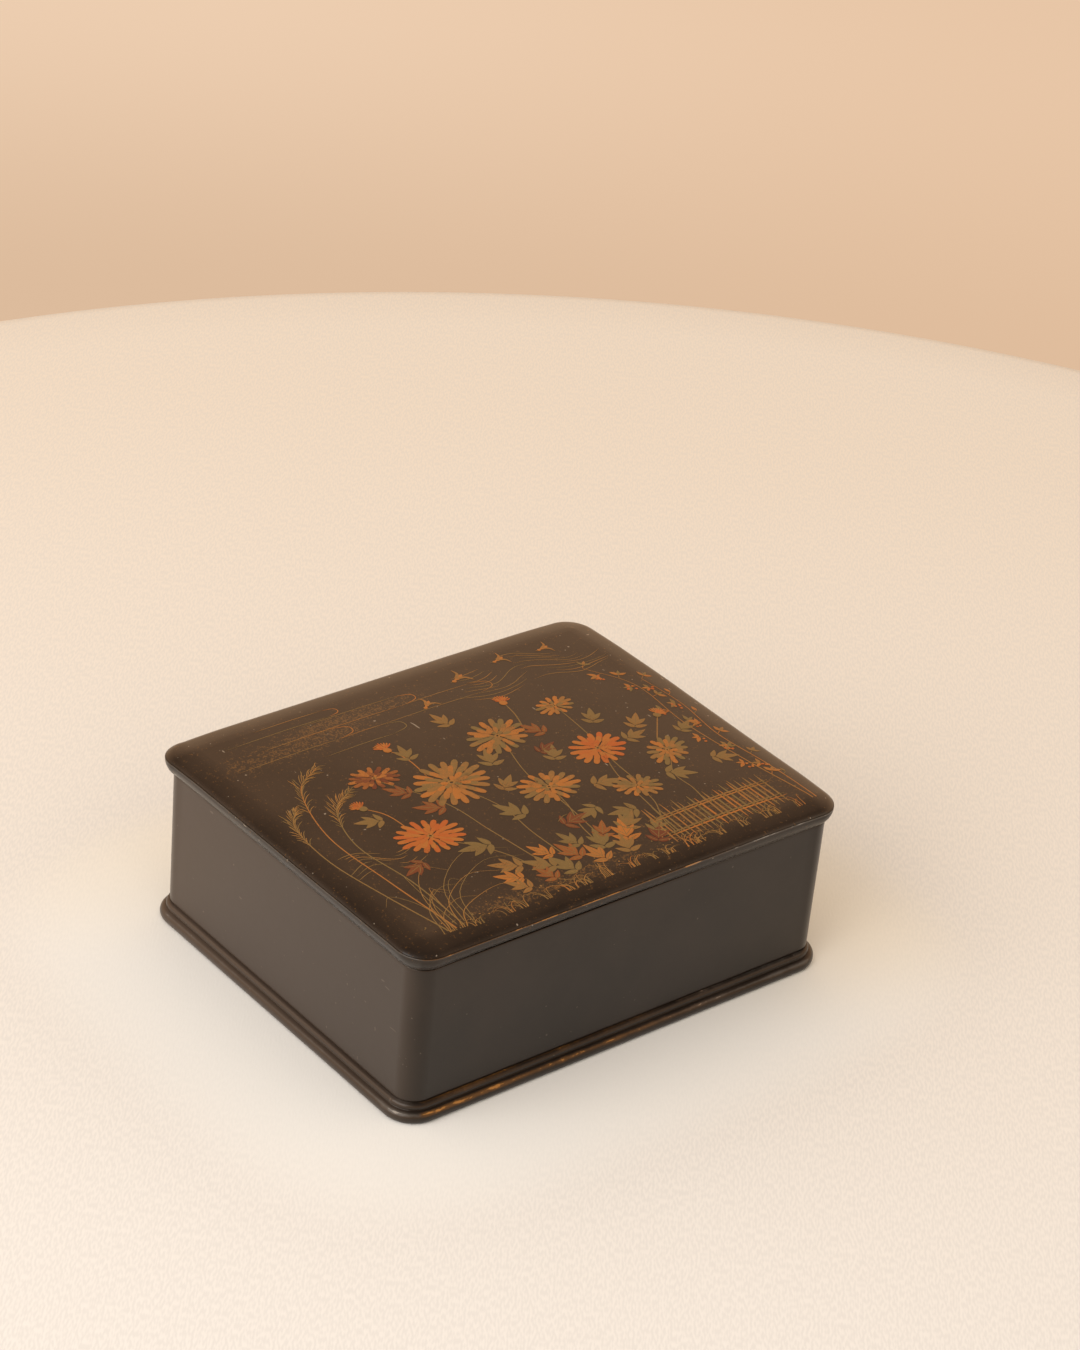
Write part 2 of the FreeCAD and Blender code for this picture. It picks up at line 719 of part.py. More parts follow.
def inkstone():
    """A slate slab with a raised border, a flat land to grind on and a well for the ink."""
    slab = new_body("stone_slab")
    plan = new_sketch(slab, "stone_plan")
    rectangle(plan, S.stone_length, S.stone_width, S.stone_corner)
    feature = pad(slab, plan, S.stone_height)
    feature = soften(slab, feature, S.stone_height, S.stone_round)
    soften(slab, feature, 0.0, S.stone_round)
    across, along = S.stone_length - 2 * S.stone_border, S.stone_width - 2 * S.stone_border
    side_view = new_body("stone_hollow_side")
    section = new_sketch(side_view, "stone_section", "YZ_Plane")
    end, above = along / 2, S.stone_height + 1.0
    land, bottom = S.stone_height - S.land_depth, S.stone_height - S.well_depth
    profile(section, [
        (-end, land),
        (end - S.well_length - S.shore_length, land, -S.shore_bulge),
        (end - S.well_length, bottom),
        (end, bottom),
        (end, above),
        (-end, above),
    ])
    pad(side_view, section, across, midplane=True)
    plan_view = new_body("stone_hollow_plan")
    hollow_plan = new_sketch(plan_view, "stone_hollow_outline")
    rectangle(hollow_plan, across, along, S.hollow_corner)
    pad(plan_view, hollow_plan, above)
    hollow = add("Part::Common", "stone_hollow", Base=side_view, Tool=plan_view)
    stone = add("Part::Cut", "inkstone", Base=slab, Tool=hollow)
    place(stone, BED_PLACE, STONE_PLACE, TRAY_FLOOR_TOP)
    return stone


def dropper():
    """The water dropper: an open box and the top soldered on it, with a spout and an air hole."""
    low = S.dropper_height - S.dropper_top_thickness
    box = new_body("dropper_body")
    plan = new_sketch(box, "dropper_plan")
    rectangle(plan, S.dropper_length, S.dropper_width, S.dropper_corner)
    soften(box, pad(box, plan, low), 0.0, S.dropper_round)
    inside = new_sketch(box, "dropper_inside", z=low)
    inner = S.dropper_corner - S.dropper_wall
    rectangle(inside, S.dropper_length - 2 * S.dropper_wall, S.dropper_width - 2 * S.dropper_wall, inner)
    pocket(box, inside, low - S.dropper_wall)
    top = new_body("dropper_top")
    top_plan = new_sketch(top, "dropper_top_plan")
    rectangle(top_plan, S.dropper_length, S.dropper_width, S.dropper_corner)
    soften(top, pad(top, top_plan, S.dropper_top_thickness), S.dropper_top_thickness, S.dropper_round)
    boss = new_sketch(top, "dropper_boss")
    circle(boss, 0.0, 0.0, S.drop_boss_radius)
    pad(top, boss, S.dropper_top_thickness + S.drop_boss_height)
    holes = new_sketch(top, "dropper_holes", z=S.dropper_top_thickness + S.drop_boss_height)
    circle(holes, 0.0, 0.0, S.drop_hole_radius)
    circle(holes, S.vent_hole_offset, 0.0, S.drop_hole_radius)
    pocket(top, holes, S.dropper_top_thickness + S.drop_boss_height)
    place(box, BED_PLACE, DROPPER_PLACE, TRAY_FLOOR_TOP)
    place(top, BED_PLACE, DROPPER_PLACE, TRAY_FLOOR_TOP + low)
    return [box, top]


def turned(name, corners, x, y, z):
    """A piece turned about an axis that lies along Y."""
    body = new_body(name)
    section = new_sketch(body, name + "_section")
    profile(section, corners)
    revolve(body, section)
    place(body, x, y, z)
    return body


def hair_head(name, neck, belly, length, x, y):
    """A head of hair lofted from the collar over its belly to a point."""
    body = new_body(name)
    rings = ((0.0, neck), (0.3, belly), (0.62, belly * 0.68), (0.86, belly * 0.3), (1.0, S.hair_point))
    sections = []
    for number, (share, radius) in enumerate(rings):
        section = new_sketch(body, "%s_ring_%d" % (name, number), "XZ_Plane", z=-length * share)
        circle(section, 0.0, 0.0, radius)
        sections.append(section)
    loft = body.newObject("PartDesign::AdditiveLoft", name + "_loft")
    loft.Profile = sections[0]
    loft.Sections = sections[1:]
    place(body, x, y, SHAFT_HEIGHT)
    return body


def brush(stem, offset, radius, length, hair_length, belly):
    """Bamboo shaft with its nodes, horn collar and a pointed head of hair, tail to the front."""
    x, y = BAY_LEFT + offset, TRAY_FRONT + S.brush_gap
    shaft = [(0.0, 0.0), (radius - S.tail_round, 0.0, QUARTER_BULGE * S.tail_round)]
    shaft.append((radius, S.tail_round))
    for number in range(int(S.node_count.value)):
        node = S.node_start + number * S.node_spacing
        shaft.append((radius, node - S.node_length / 2, S.node_bulge))
        shaft.append((radius, node + S.node_length / 2))
    shaft += [(radius, length), (0.0, length)]
    neck = radius - S.collar_neck
    collar = [(0.0, 0.0), (radius + S.collar_lip, 0.0), (radius + S.collar_lip, S.collar_length / 4)]
    collar += [(neck, S.collar_length), (0.0, S.collar_length)]
    return [
        turned(stem + "_shaft", shaft, x, y, SHAFT_HEIGHT),
        turned(stem + "_collar", collar, x, y + length, SHAFT_HEIGHT),
        hair_head(stem + "_hair", neck, belly, hair_length, x, y + length + S.collar_length),
    ]


def knife():
    """A paper knife: a flat wooden handle with a slot for the tang, and a slanted steel blade."""
    x, y = BAY_LEFT + KNIFE_OFFSET, RESTS_PLACE - S.handle_length / 2
    z = SHAFT_HEIGHT - S.knife_seat_depth
    handle = new_body("knife_handle")
    plan = new_sketch(handle, "handle_plan")
    rectangle(plan, S.handle_width, S.handle_length, S.handle_corner)
    feature = pad(handle, plan, S.handle_thickness)
    feature = soften(handle, feature, S.handle_thickness, S.handle_round)
    soften(handle, feature, 0.0, S.handle_round)
    slot = new_sketch(handle, "tang_slot", y=S.handle_length / 2 - S.blade_tang / 2, z=S.handle_thickness / 2)
    rectangle(slot, S.tang_width, S.blade_tang)
    pocket(handle, slot, S.blade_thickness, midplane=True)
    place(handle, x, y + S.handle_length / 2, z)
    blade = new_body("knife_blade")
    shape = new_sketch(blade, "blade_plan")
    tang, half = S.tang_width / 2, S.blade_width / 2
    profile(shape, [
        (-tang, -S.blade_tang),
        (tang, -S.blade_tang),
        (tang, 0.0),
        (half, 0.0),
        (half, S.blade_length - S.blade_slant),
        (-half, S.blade_length),
        (-half, 0.0),
        (-tang, 0.0),
    ])
    feature = pad(blade, shape, S.blade_thickness, midplane=True)
    doc.recompute()
    flat = S.blade_thickness.value / 2
    names = edges_at(feature.Shape, flat)
    edges = [(name, feature.Shape.getElement(name).BoundBox) for name in names]
    bevel = blade.newObject("PartDesign::Chamfer", "cutting_edge")
    bevel.Base = (feature, [name for name, box in edges if box.XMax > half.value - 0.01 and box.YMax > 0.01])
    bind(bevel, "Size", S.blade_bevel)
    place(blade, x, y + S.handle_length, z + S.handle_thickness / 2)
    return [handle, blade]


def ink_stick():
    """A moulded stick of ink with a sunk panel on its upper face."""
    body = new_body("ink_stick")
    plan = new_sketch(body, "stick_plan")
    rectangle(plan, S.stick_width, S.stick_length, S.stick_corner)
    feature = pad(body, plan, S.stick_height)
    feature = soften(body, feature, S.stick_height, S.stick_round)
    soften(body, feature, 0.0, S.stick_round)
    panel = new_sketch(body, "stick_panel", z=S.stick_height)
    rectangle(panel, S.stick_width - 2 * S.stick_border, S.stick_length - 2 * S.stick_border)
    pocket(body, panel, S.stick_panel_depth)
    place(body, BAY_LEFT + STICK_OFFSET, RESTS_PLACE, TRAY_FLOOR_TOP)
    return body


def build():
    wedges = mitre_wedges()
    pieces = carcase(wedges) + lid(wedges) + tray(wedges)
    pieces.append(brush_rest("brush_rest_front", RESTS_PLACE - REST_REACH))
    pieces.append(brush_rest("brush_rest_back", RESTS_PLACE + REST_REACH))
    pieces.append(inkstone())
    pieces += dropper()
    pieces += brush(
        "large_brush", LARGE_OFFSET, S.large_shaft_radius, S.large_shaft_length,
        S.large_hair_length, S.large_hair_belly,
    )
    pieces += brush(
        "small_brush", SMALL_OFFSET, S.small_shaft_radius, S.small_shaft_length,
        S.small_hair_length, S.small_hair_belly,
    )
    pieces += knife()
    pieces.append(ink_stick())
    return pieces


pieces = build()
doc.recompute()

failed = [thing.Name for thing in doc.Objects if "Invalid" in thing.State or "Error" in thing.State]
if failed:
    raise SystemExit("these did not build: " + ", ".join(failed))
for piece in pieces:
    if piece.Shape.isNull() or not piece.Shape.isValid() or not piece.Shape.Solids:
        raise SystemExit("no sound solid: " + piece.Label)

os.makedirs("parts", exist_ok=True)
for piece in pieces:
    piece.Shape.exportStep(os.path.join("parts", piece.Label + ".step"))
    print(piece.Label, len(piece.Shape.Solids), round(piece.Shape.Volume, 1))
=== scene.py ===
"""Finish of a lacquered writing box: lacquer skins, raised gold work, inside fittings and stage."""

import math
import random

import bpy
from mathutils import Matrix, Vector, noise


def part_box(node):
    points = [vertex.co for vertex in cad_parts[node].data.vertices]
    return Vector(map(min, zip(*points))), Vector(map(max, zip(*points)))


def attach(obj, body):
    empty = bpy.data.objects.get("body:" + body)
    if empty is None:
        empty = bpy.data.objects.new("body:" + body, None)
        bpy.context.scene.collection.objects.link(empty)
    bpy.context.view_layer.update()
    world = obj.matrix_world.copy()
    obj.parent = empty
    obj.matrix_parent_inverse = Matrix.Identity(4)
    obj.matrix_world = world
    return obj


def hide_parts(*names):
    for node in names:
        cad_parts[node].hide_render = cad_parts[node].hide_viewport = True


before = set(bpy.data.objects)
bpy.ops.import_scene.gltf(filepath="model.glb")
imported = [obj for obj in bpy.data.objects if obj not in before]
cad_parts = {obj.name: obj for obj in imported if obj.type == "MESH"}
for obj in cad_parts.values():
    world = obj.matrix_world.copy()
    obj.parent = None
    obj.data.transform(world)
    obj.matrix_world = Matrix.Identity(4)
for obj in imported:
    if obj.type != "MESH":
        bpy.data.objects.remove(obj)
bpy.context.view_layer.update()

bl_info = {
    "name": "Writing Box Finish",
    "version": (1, 0, 0),
    "blender": (4, 5, 0),
    "location": "View3D > Sidebar > Writing Box",
    "description": "Lacquers, decorates and furnishes a packed writing box",
    "category": "Object",
}

MM = 0.001
SIDES = ("front", "right", "back", "left")


def group(stem):
    """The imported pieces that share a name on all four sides."""
    return [stem + "_" + side for side in SIDES]


def span(*nodes):
    """Lowest and highest corner, in millimetres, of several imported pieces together."""
    boxes = [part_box(node) for node in nodes]
    low = [min(box[0][axis] for box in boxes) / MM for axis in range(3)]
    high = [max(box[1][axis] for box in boxes) / MM for axis in range(3)]
    return low, high


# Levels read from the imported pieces, and offsets outwards from the walls' faces, in millimetres.

WALL_LOW, WALL_HIGH = span(*group("wall"))
HALF_LENGTH, HALF_WIDTH, JOINT = WALL_HIGH
FOOT_TOP = WALL_LOW[2]
FLOOR_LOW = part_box("floor_board")[0].z / MM
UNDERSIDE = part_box("lid_panel")[0].z / MM
CORNER = 10.0
WALL_THICK = 5.0
LID_INSIDE = -4.5
PANEL_INSET = -8.2
RIM_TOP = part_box("lid_rim_front")[1].z / MM
ARRIS_REACH, ARRIS_HEIGHT = 3.8, JOINT + 7.8
SHOULDER_REACH, SHOULDER_TOP = 0.4, JOINT + 9.8
DOME_POWER = 2.2
DOME_RISE = 1.84
HOLLOW_RISE = 1.8
HOLLOW_MARGIN = 8.0

# What age has done to the box, in millimetres.

DROOP, DROOP_REACH = 0.8, 340.0 ** 0.5
GAP_MIDDLE, GAP_REACH = -36.0, 78.0
CHIP_MIDDLE, CHIP_REACH = 28.0, 3.5
SIDE_BOW, SIDE_BOW_MIDDLE, SIDE_BOW_REACH = 0.65, 32.0, 40.0


def clamp(value):
    """The value, kept between 0 and 1."""
    return max(0.0, min(1.0, value))


def hump(distance, reach):
    """1 at no distance, fading away past the reach."""
    return math.exp(-(distance / reach) ** 2)


def times(factor, colour):
    return tuple(factor * part for part in colour)


# Settings that a user would change.

def colour_setting(name, description, value):
    return bpy.props.FloatVectorProperty(
        name=name, description=description, default=value, subtype="COLOR", size=3, min=0.0, max=1.0
    )


def length_setting(name, description, value):
    return bpy.props.FloatProperty(
        name=name, description=description, default=value, subtype="DISTANCE", unit="LENGTH",
        min=0.0
    )


def share_setting(name, description, value):
    return bpy.props.FloatProperty(
        name=name, description=description, default=value, subtype="FACTOR", min=0.0, max=1.0
    )


class LacquerSettings(bpy.types.PropertyGroup):
    box_colour: colour_setting("Box lacquer", "Colour of walls and foot", (0.008, 0.0054, 0.0038))
    box_haze: colour_setting("Box haze", "Paler bloom on the walls", (0.0155, 0.0104, 0.0074))
    lid_colour: colour_setting("Lid lacquer", "Colour of the lid's ground", (0.010, 0.0055, 0.0028))
    lid_haze: colour_setting("Lid haze", "Paler bloom on the lid", (0.020, 0.0110, 0.0058))
    worn_colour: colour_setting("Worn edge", "Ground under rubbed lacquer", (0.40, 0.165, 0.032))
    # Painted highlight: worn edges take this pale colour where glints of the window would fall on
    # them.
    edge_glint_colour: colour_setting("Rubbed edge", "Edges rubbed to a pale sheen", (0.27, 0.235, 0.20))
    inner_colour: colour_setting("Inner lacquer", "Colour of the inside", (0.012, 0.008, 0.006))
    edge_wear: share_setting("Edge wear", "How far the edges are rubbed through", 0.55)
    joint_gap: length_setting("Joint gap", "Opening at the middle of the lid's front joint", 0.0012)


class GoldSettings(bpy.types.PropertyGroup):
    orange: colour_setting("Orange gold", "Gold with a warm ground", (0.33, 0.105, 0.014))
    bright: colour_setting("Bright orange", "Brightest of the lacquers", (0.35, 0.072, 0.008))
    olive: colour_setting("Olive gold", "Greenish gold of leaves and stems", (0.150, 0.088, 0.024))
    russet: colour_setting("Russet", "Red-brown lacquer", (0.115, 0.024, 0.006))
    fine: colour_setting("Fine gold", "Gold of the thinnest lines", (0.27, 0.115, 0.022))
    relief: length_setting("Relief", "How far the gold work stands up", 0.00010)


class StageSettings(bpy.types.PropertyGroup):
    table_radius: length_setting("Table radius", "Radius of the round table", 0.754)
    cloth: colour_setting("Cloth", "Colour of the tablecloth", (0.728, 0.689, 0.651))
    # Painted light: the warmer back of the cloth stands for warm light from the peach wall.
    warm_lit_far_cloth: colour_setting("Far cloth", "Warmer colour towards the back", (0.712, 0.612, 0.510))


# Shader expressions.

class Signal:
    """A socket that takes part in arithmetic: each step adds a Math node."""

    def __init__(self, recipe, socket):
        self.recipe = recipe
        self.socket = socket

    def math(self, operation, *rest):
        values = dict(enumerate((self,) + rest))
        return self.recipe.put("ShaderNodeMath", {"operation": operation}, values)

    def __add__(self, other):
        return self.math("ADD", other)

    def __sub__(self, other):
        return self.math("SUBTRACT", other)

    def __rsub__(self, other):
        return (self * -1.0).math("ADD", other)

    def __mul__(self, other):
        return self.math("MULTIPLY", other)

    def __truediv__(self, other):
        return self.math("DIVIDE", other)

    def __pow__(self, other):
        return self.math("POWER", other)

    __radd__ = __add__
    __rmul__ = __mul__

    def step(self, low, high):
        """0 below low, 1 above high, and a smooth slope between; low above high turns it over."""
        ends = {"Value": self, "From Min": low, "From Max": high}
        return self.recipe.put("ShaderNodeMapRange", {"interpolation_type": "SMOOTHSTEP"}, ends)

    def most(self, other):
        return self.math("MAXIMUM", other)


class Nodes:
    """A node tree that is written as expressions."""

    def __init__(self, tree):
        self.tree = tree
        tree.nodes.clear()

    def put(self, kind, settings, values, output=0):
        """Adds a node: its settings first, then the values or links of its sockets."""
        node = self.tree.nodes.new(kind)
        for name, value in settings.items():
            setattr(node, name, value)
        for name, value in values.items():
            if isinstance(value, Signal):
                self.tree.links.new(value.socket, node.inputs[name])
            else:
                node.inputs[name].default_value = value
        return Signal(self, node.outputs[output])

    def scale(self, spot, stretch):
        return self.put("ShaderNodeVectorMath", {"operation": "MULTIPLY"}, {0: spot, 1: stretch})

    def place(self, stretch=None):
        spot = self.put("ShaderNodeTexCoord", {}, {}, "Object")
        return self.scale(spot, stretch) if stretch else spot

    def axis(self, name):
        return self.put("ShaderNodeSeparateXYZ", {}, {0: self.place()}, "XYZ".index(name))

    def grain(self, size, detail=3.0, stretch=None, rough=0.5, spot=None):
        """Noise whose features are about size metres across."""
        values = {"Vector": spot or self.place(stretch), "Scale": 1.0 / size, "Detail": detail}
        return self.put("ShaderNodeTexNoise", {}, {**values, "Roughness": rough})

    def flakes(self, size, share):
        """1 inside some of the cells of a crazed pattern, as scattered flakes have it."""
        values = {"Vector": self.place(), "Scale": 1.0 / size}
        cells = self.put("ShaderNodeTexVoronoi", {}, values, "Color")
        pick = self.put("ShaderNodeSeparateColor", {}, {0: cells})
        return pick.step(1.0 - share, 1.0 - share + 0.02)

    def note(self, name):
        return self.put("ShaderNodeAttribute", {"attribute_name": name}, {}, "Fac")

    def blend(self, share, first, second):
        values = {0: share}
        for place, colour in ((6, first), (7, second)):
            values[place] = colour if isinstance(colour, Signal) else tuple(colour) + (1.0,)
        return self.put("ShaderNodeMix", {"data_type": "RGBA"}, values, 2)


class Recipe(Nodes):
    """A finish: a Principled shader, with the nodes that feed it."""

    def __init__(self, name, **constants):
        self.material = bpy.data.materials.new(name)
        self.material.use_nodes = True
        super().__init__(self.material.node_tree)
        self.shader = self.tree.nodes.new("ShaderNodeBsdfPrincipled")
        output = self.tree.nodes.new("ShaderNodeOutputMaterial")
        self.tree.links.new(self.shader.outputs[0], output.inputs["Surface"])
        for word, value in constants.items():
            self.shader.inputs[word.replace("_", " ")].default_value = value

    def feed(self, **links):
        for word, value in links.items():
            self.tree.links.new(value.socket, self.shader.inputs[word.replace("_", " ")])

    def bump(self, height, depth, strength=1.0):
        """Raises the surface by height (0 to 1) times depth metres."""
        values = {"Height": height, "Distance": depth, "Strength": strength}
        self.feed(Normal=self.put("ShaderNodeBump", {}, values))


# Meshes.

def build(name, points, faces, finish, smooth=35.0, **notes):
    """An object from points in millimetres, with its finish and its per-point notes."""
    mesh = bpy.data.meshes.new(name)
    mesh.from_pydata([(x * MM, y * MM, z * MM) for x, y, z in points], [], faces)
    mesh.validate()
    for word, values in notes.items():
        mesh.attributes.new(word, "FLOAT", "POINT").data.foreach_set("value", values)
    mesh.materials.append(finish)
    mesh.shade_smooth()
    mesh.set_sharp_from_angle(angle=math.radians(smooth))
    piece = bpy.data.objects.new(name, mesh)
    bpy.context.scene.collection.objects.link(piece)
    return piece


def arc(start, end, bulge, steps):
    """Points from start to end on an arc that stands out by bulge to the right of the way."""
    (x0, y0), (x1, y1) = start, end
    chord = math.hypot(x1 - x0, y1 - y0)
    radius = (chord * chord / 4 + bulge * bulge) / (2 * bulge)
    half = math.asin(max(-1.0, min(1.0, chord / 2 / radius)))
    along = ((x1 - x0) / chord, (y1 - y0) / chord)
    points = []
    for step in range(steps + 1):
        angle = half * (2.0 * step / steps - 1.0)
        run = radius * math.sin(angle) + chord / 2
        out = radius * math.cos(angle) - (radius - bulge)
        points.append((x0 + along[0] * run + along[1] * out, y0 + along[1] * run - along[0] * out))
    return points


CORNER_CELLS = 14
BODY_CELLS, LID_CELLS = (56, 44), (80, 64)


def stations(length_cells, width_cells):
    """Where a moulding's section stands on its way round the box, counter-clockwise from the
    front left corner: (anchor x, anchor y, outward x, outward y, is a corner)."""
    flat_x, flat_y = HALF_LENGTH - CORNER, HALF_WIDTH - CORNER
    runs = (
        ((-flat_x, -flat_y), (flat_x, -flat_y), (0, -1), length_cells),
        ((flat_x, -flat_y), (flat_x, flat_y), (1, 0), width_cells),
        ((flat_x, flat_y), (-flat_x, flat_y), (0, 1), length_cells),
        ((-flat_x, flat_y), (-flat_x, -flat_y), (-1, 0), width_cells),
    )
    found = []
    for turn, (start, end, out, cells) in enumerate(runs):
        for cell in range(cells + 1):
            share = cell / cells
            spot = (start[0] + (end[0] - start[0]) * share, start[1] + (end[1] - start[1]) * share)
            found.append((spot[0], spot[1], out[0], out[1], False))
        for cell in range(1, CORNER_CELLS):
            angle = math.radians(90.0 * (turn - 1) + 90.0 * cell / CORNER_CELLS)
            found.append((end[0], end[1], math.cos(angle), math.sin(angle), True))
    return found


def stand(station, offset, square=0.0):
    """The point at an offset outwards from the wall's face; square pushes the corners out."""
    x, y, out_x, out_y, corner = station
    reach = CORNER + offset + square * 2.0 * abs(out_x * out_y)
    if corner:
        reach = max(reach, 0.0)
    across, along = HALF_LENGTH + offset, HALF_WIDTH + offset
    if corner and square:
        return x + out_x * reach, y + out_y * reach
    x = max(-across, min(across, x + out_x * reach))
    y = max(-along, min(along, y + out_y * reach))
    return x, y


def tremor(x, y, z, size, amount):
    """A small hand-made unevenness."""
    return amount * noise.noise(Vector((x / size, y / size, z / size + 3.7)))


def ring_faces(rings):
    """Quads between neighbouring closed rings of point numbers, outsides outwards."""
    faces = []
    for lower, upper in zip(rings[:-1], rings[1:]):
        count = len(lower)
        for spot in range(count):
            after = (spot + 1) % count
            corners = (lower[spot], upper[spot], upper[after], lower[after])
            face = [corner for place, corner in enumerate(corners) if corner != corners[place - 1]]
            if len(face) > 2:
                faces.append(face)
    return faces


# Lacquer.

COAT = 0.3
# How much paler the painted window light makes the side that faces the window.
WINDOW_LIGHT_GAIN = 3.6
THIN = 0.30
DUST_COLOUR = (0.42, 0.33, 0.24)


def lacquer(name, deep, haze, roughness, dust, sheen, depth, cloud=None):
    """Old satin lacquer: mottled bloom, a side painted paler for the window's light on it, rubbed
    edges (some painted pale as highlights), painted shade on the lid's front band, and dust.
    """
    look = bpy.context.scene.writing_box_lacquer
    worn, pale = look.worn_colour, look.edge_glint_colour
    coat = {"Coat_Weight": COAT, "Coat_Roughness": 0.08, "Coat_IOR": 1.5}
    recipe = Recipe(name, IOR=depth, Specular_Tint=sheen, **coat)
    mottle = recipe.grain(0.045, 4.0, rough=0.6)
    colour = recipe.blend(mottle.step(0.3, 0.75), deep, haze)
    # Painted light: the side facing the window is blended towards a paler colour, standing for the
    # window's light on it.
    colour = recipe.blend(recipe.note("fade"), colour, times(WINDOW_LIGHT_GAIN, haze))
    scuffs = recipe.grain(0.014, 5.0, rough=0.6)
    streaks = recipe.grain(0.0022, 4.0, (0.35, 0.35, 1.6), 0.7)
    edge = recipe.note("wear") * (0.5 + look.edge_wear)
    # Rubbed edges show the orange ground (real wear); where the pale note is set they are painted
    # pale instead, as a painted highlight.
    rubbed = recipe.note("pale")
    thin = (edge + (scuffs - 0.5) * 1.1 + (streaks - 0.5) * 0.5).step(0.30, 0.95)
    thin_wear_and_glint = recipe.blend(rubbed, times(THIN, worn), times(THIN, pale))
    colour = recipe.blend(thin * 0.7, colour, thin_wear_and_glint)
    through = (edge + (scuffs - 0.5) * 1.3 + (streaks - 0.5) * 2.2).step(0.88, 1.12)
    colour = recipe.blend(through * 0.72, colour, recipe.blend(rubbed, worn, pale))
    specks = recipe.grain(0.0017, 0.0).step(0.845, 0.87)
    lint = recipe.grain(0.0013, 0.0, (1.0, 0.22, 1.0)).step(0.875, 0.90)
    colour = recipe.blend(specks.most(lint) * dust, colour, DUST_COLOUR)
    fine = recipe.grain(0.0016, 2.0)
    patchy = (mottle - 0.5) * 0.10 + (recipe.grain(0.0035, 3.0) - 0.5) * 0.06
    if cloud is not None:
        powder = recipe.grain(0.0008, 1.0) * 0.6 + recipe.grain(0.0021, 1.0) * 0.4
        sprinkled = (powder + recipe.note("cloud") * 0.14).step(0.60, 0.72)
        colour = recipe.blend(sprinkled * 0.30, colour, cloud)
    # Painted shade: the lid's front band below the arris is darkened towards the deep colour, and
    # it also loses most of its coat.
    under = recipe.note("under")
    colour = recipe.blend(under * 0.6, colour, deep)
    recipe.feed(Base_Color=colour, Coat_Weight=COAT - under * COAT)
    recipe.feed(Roughness=roughness + patchy + thin * 0.12)
    recipe.bump(recipe.grain(0.006, 2.0) * 0.7 + fine * 0.3, 0.00003, 0.5)
    return recipe.material


def body_section():
    """The walls and foot as one closed section of (offset, height, wear) points."""
    top = [(-WALL_THICK, JOINT, 0.0), (-3.2, JOINT, 0.0), (-0.7, JOINT, 0.0)]
    top += [(o, z, 0.15) for o, z in arc((-0.5, JOINT), (0.0, JOINT - 0.5), -0.15, 3)]
    levels = [JOINT - 2.0, JOINT - 5.0]
    levels += [FOOT_TOP + 1.2 + (JOINT - FOOT_TOP - 8.0) * s / 8 for s in range(8, -1, -1)]
    wall = [(0.0, z, 0.0) for z in levels]
    groove = ((0.0, 0.8, 0.0), (-0.35, 0.62, 0.0), (-0.38, 0.05, 0.0), (0.1, -0.05, 0.7))
    ovolo = [(o, FOOT_TOP + z, wear) for o, z, wear in groove]
    for number, (o, z) in enumerate(arc((0.5, FOOT_TOP), (2.0, FOOT_TOP - 2.0), -0.5, 6)):
        ovolo.append((o, z, 0.62 - 0.09 * number))
    quirk = [(o, FOOT_TOP - z, 0.0) for o, z in ((1.97, 2.25), (1.68, 2.5), (1.62, 2.75))]
    bead = []
    for number, (o, z) in enumerate(arc((1.75, FOOT_TOP - 2.9), (3.2, 0.0), -2.10, 14)):
        bead.append((o, z, max(0.0, 1.0 - abs(number - 4.0) / 3.6)))
    inner = [(2.6, 0.0, 0.0), (-4.0, 0.0, 0.2), (-10.4, 0.0, 0.2), (-11.0, 0.5, 0.0)]
    inner += [(-11.0, FLOOR_LOW, 0.0), (-WALL_THICK, FLOOR_LOW, 0.0), (-WALL_THICK, FOOT_TOP, 0.0)]
    return top + wall + ovolo + quirk + bead + inner


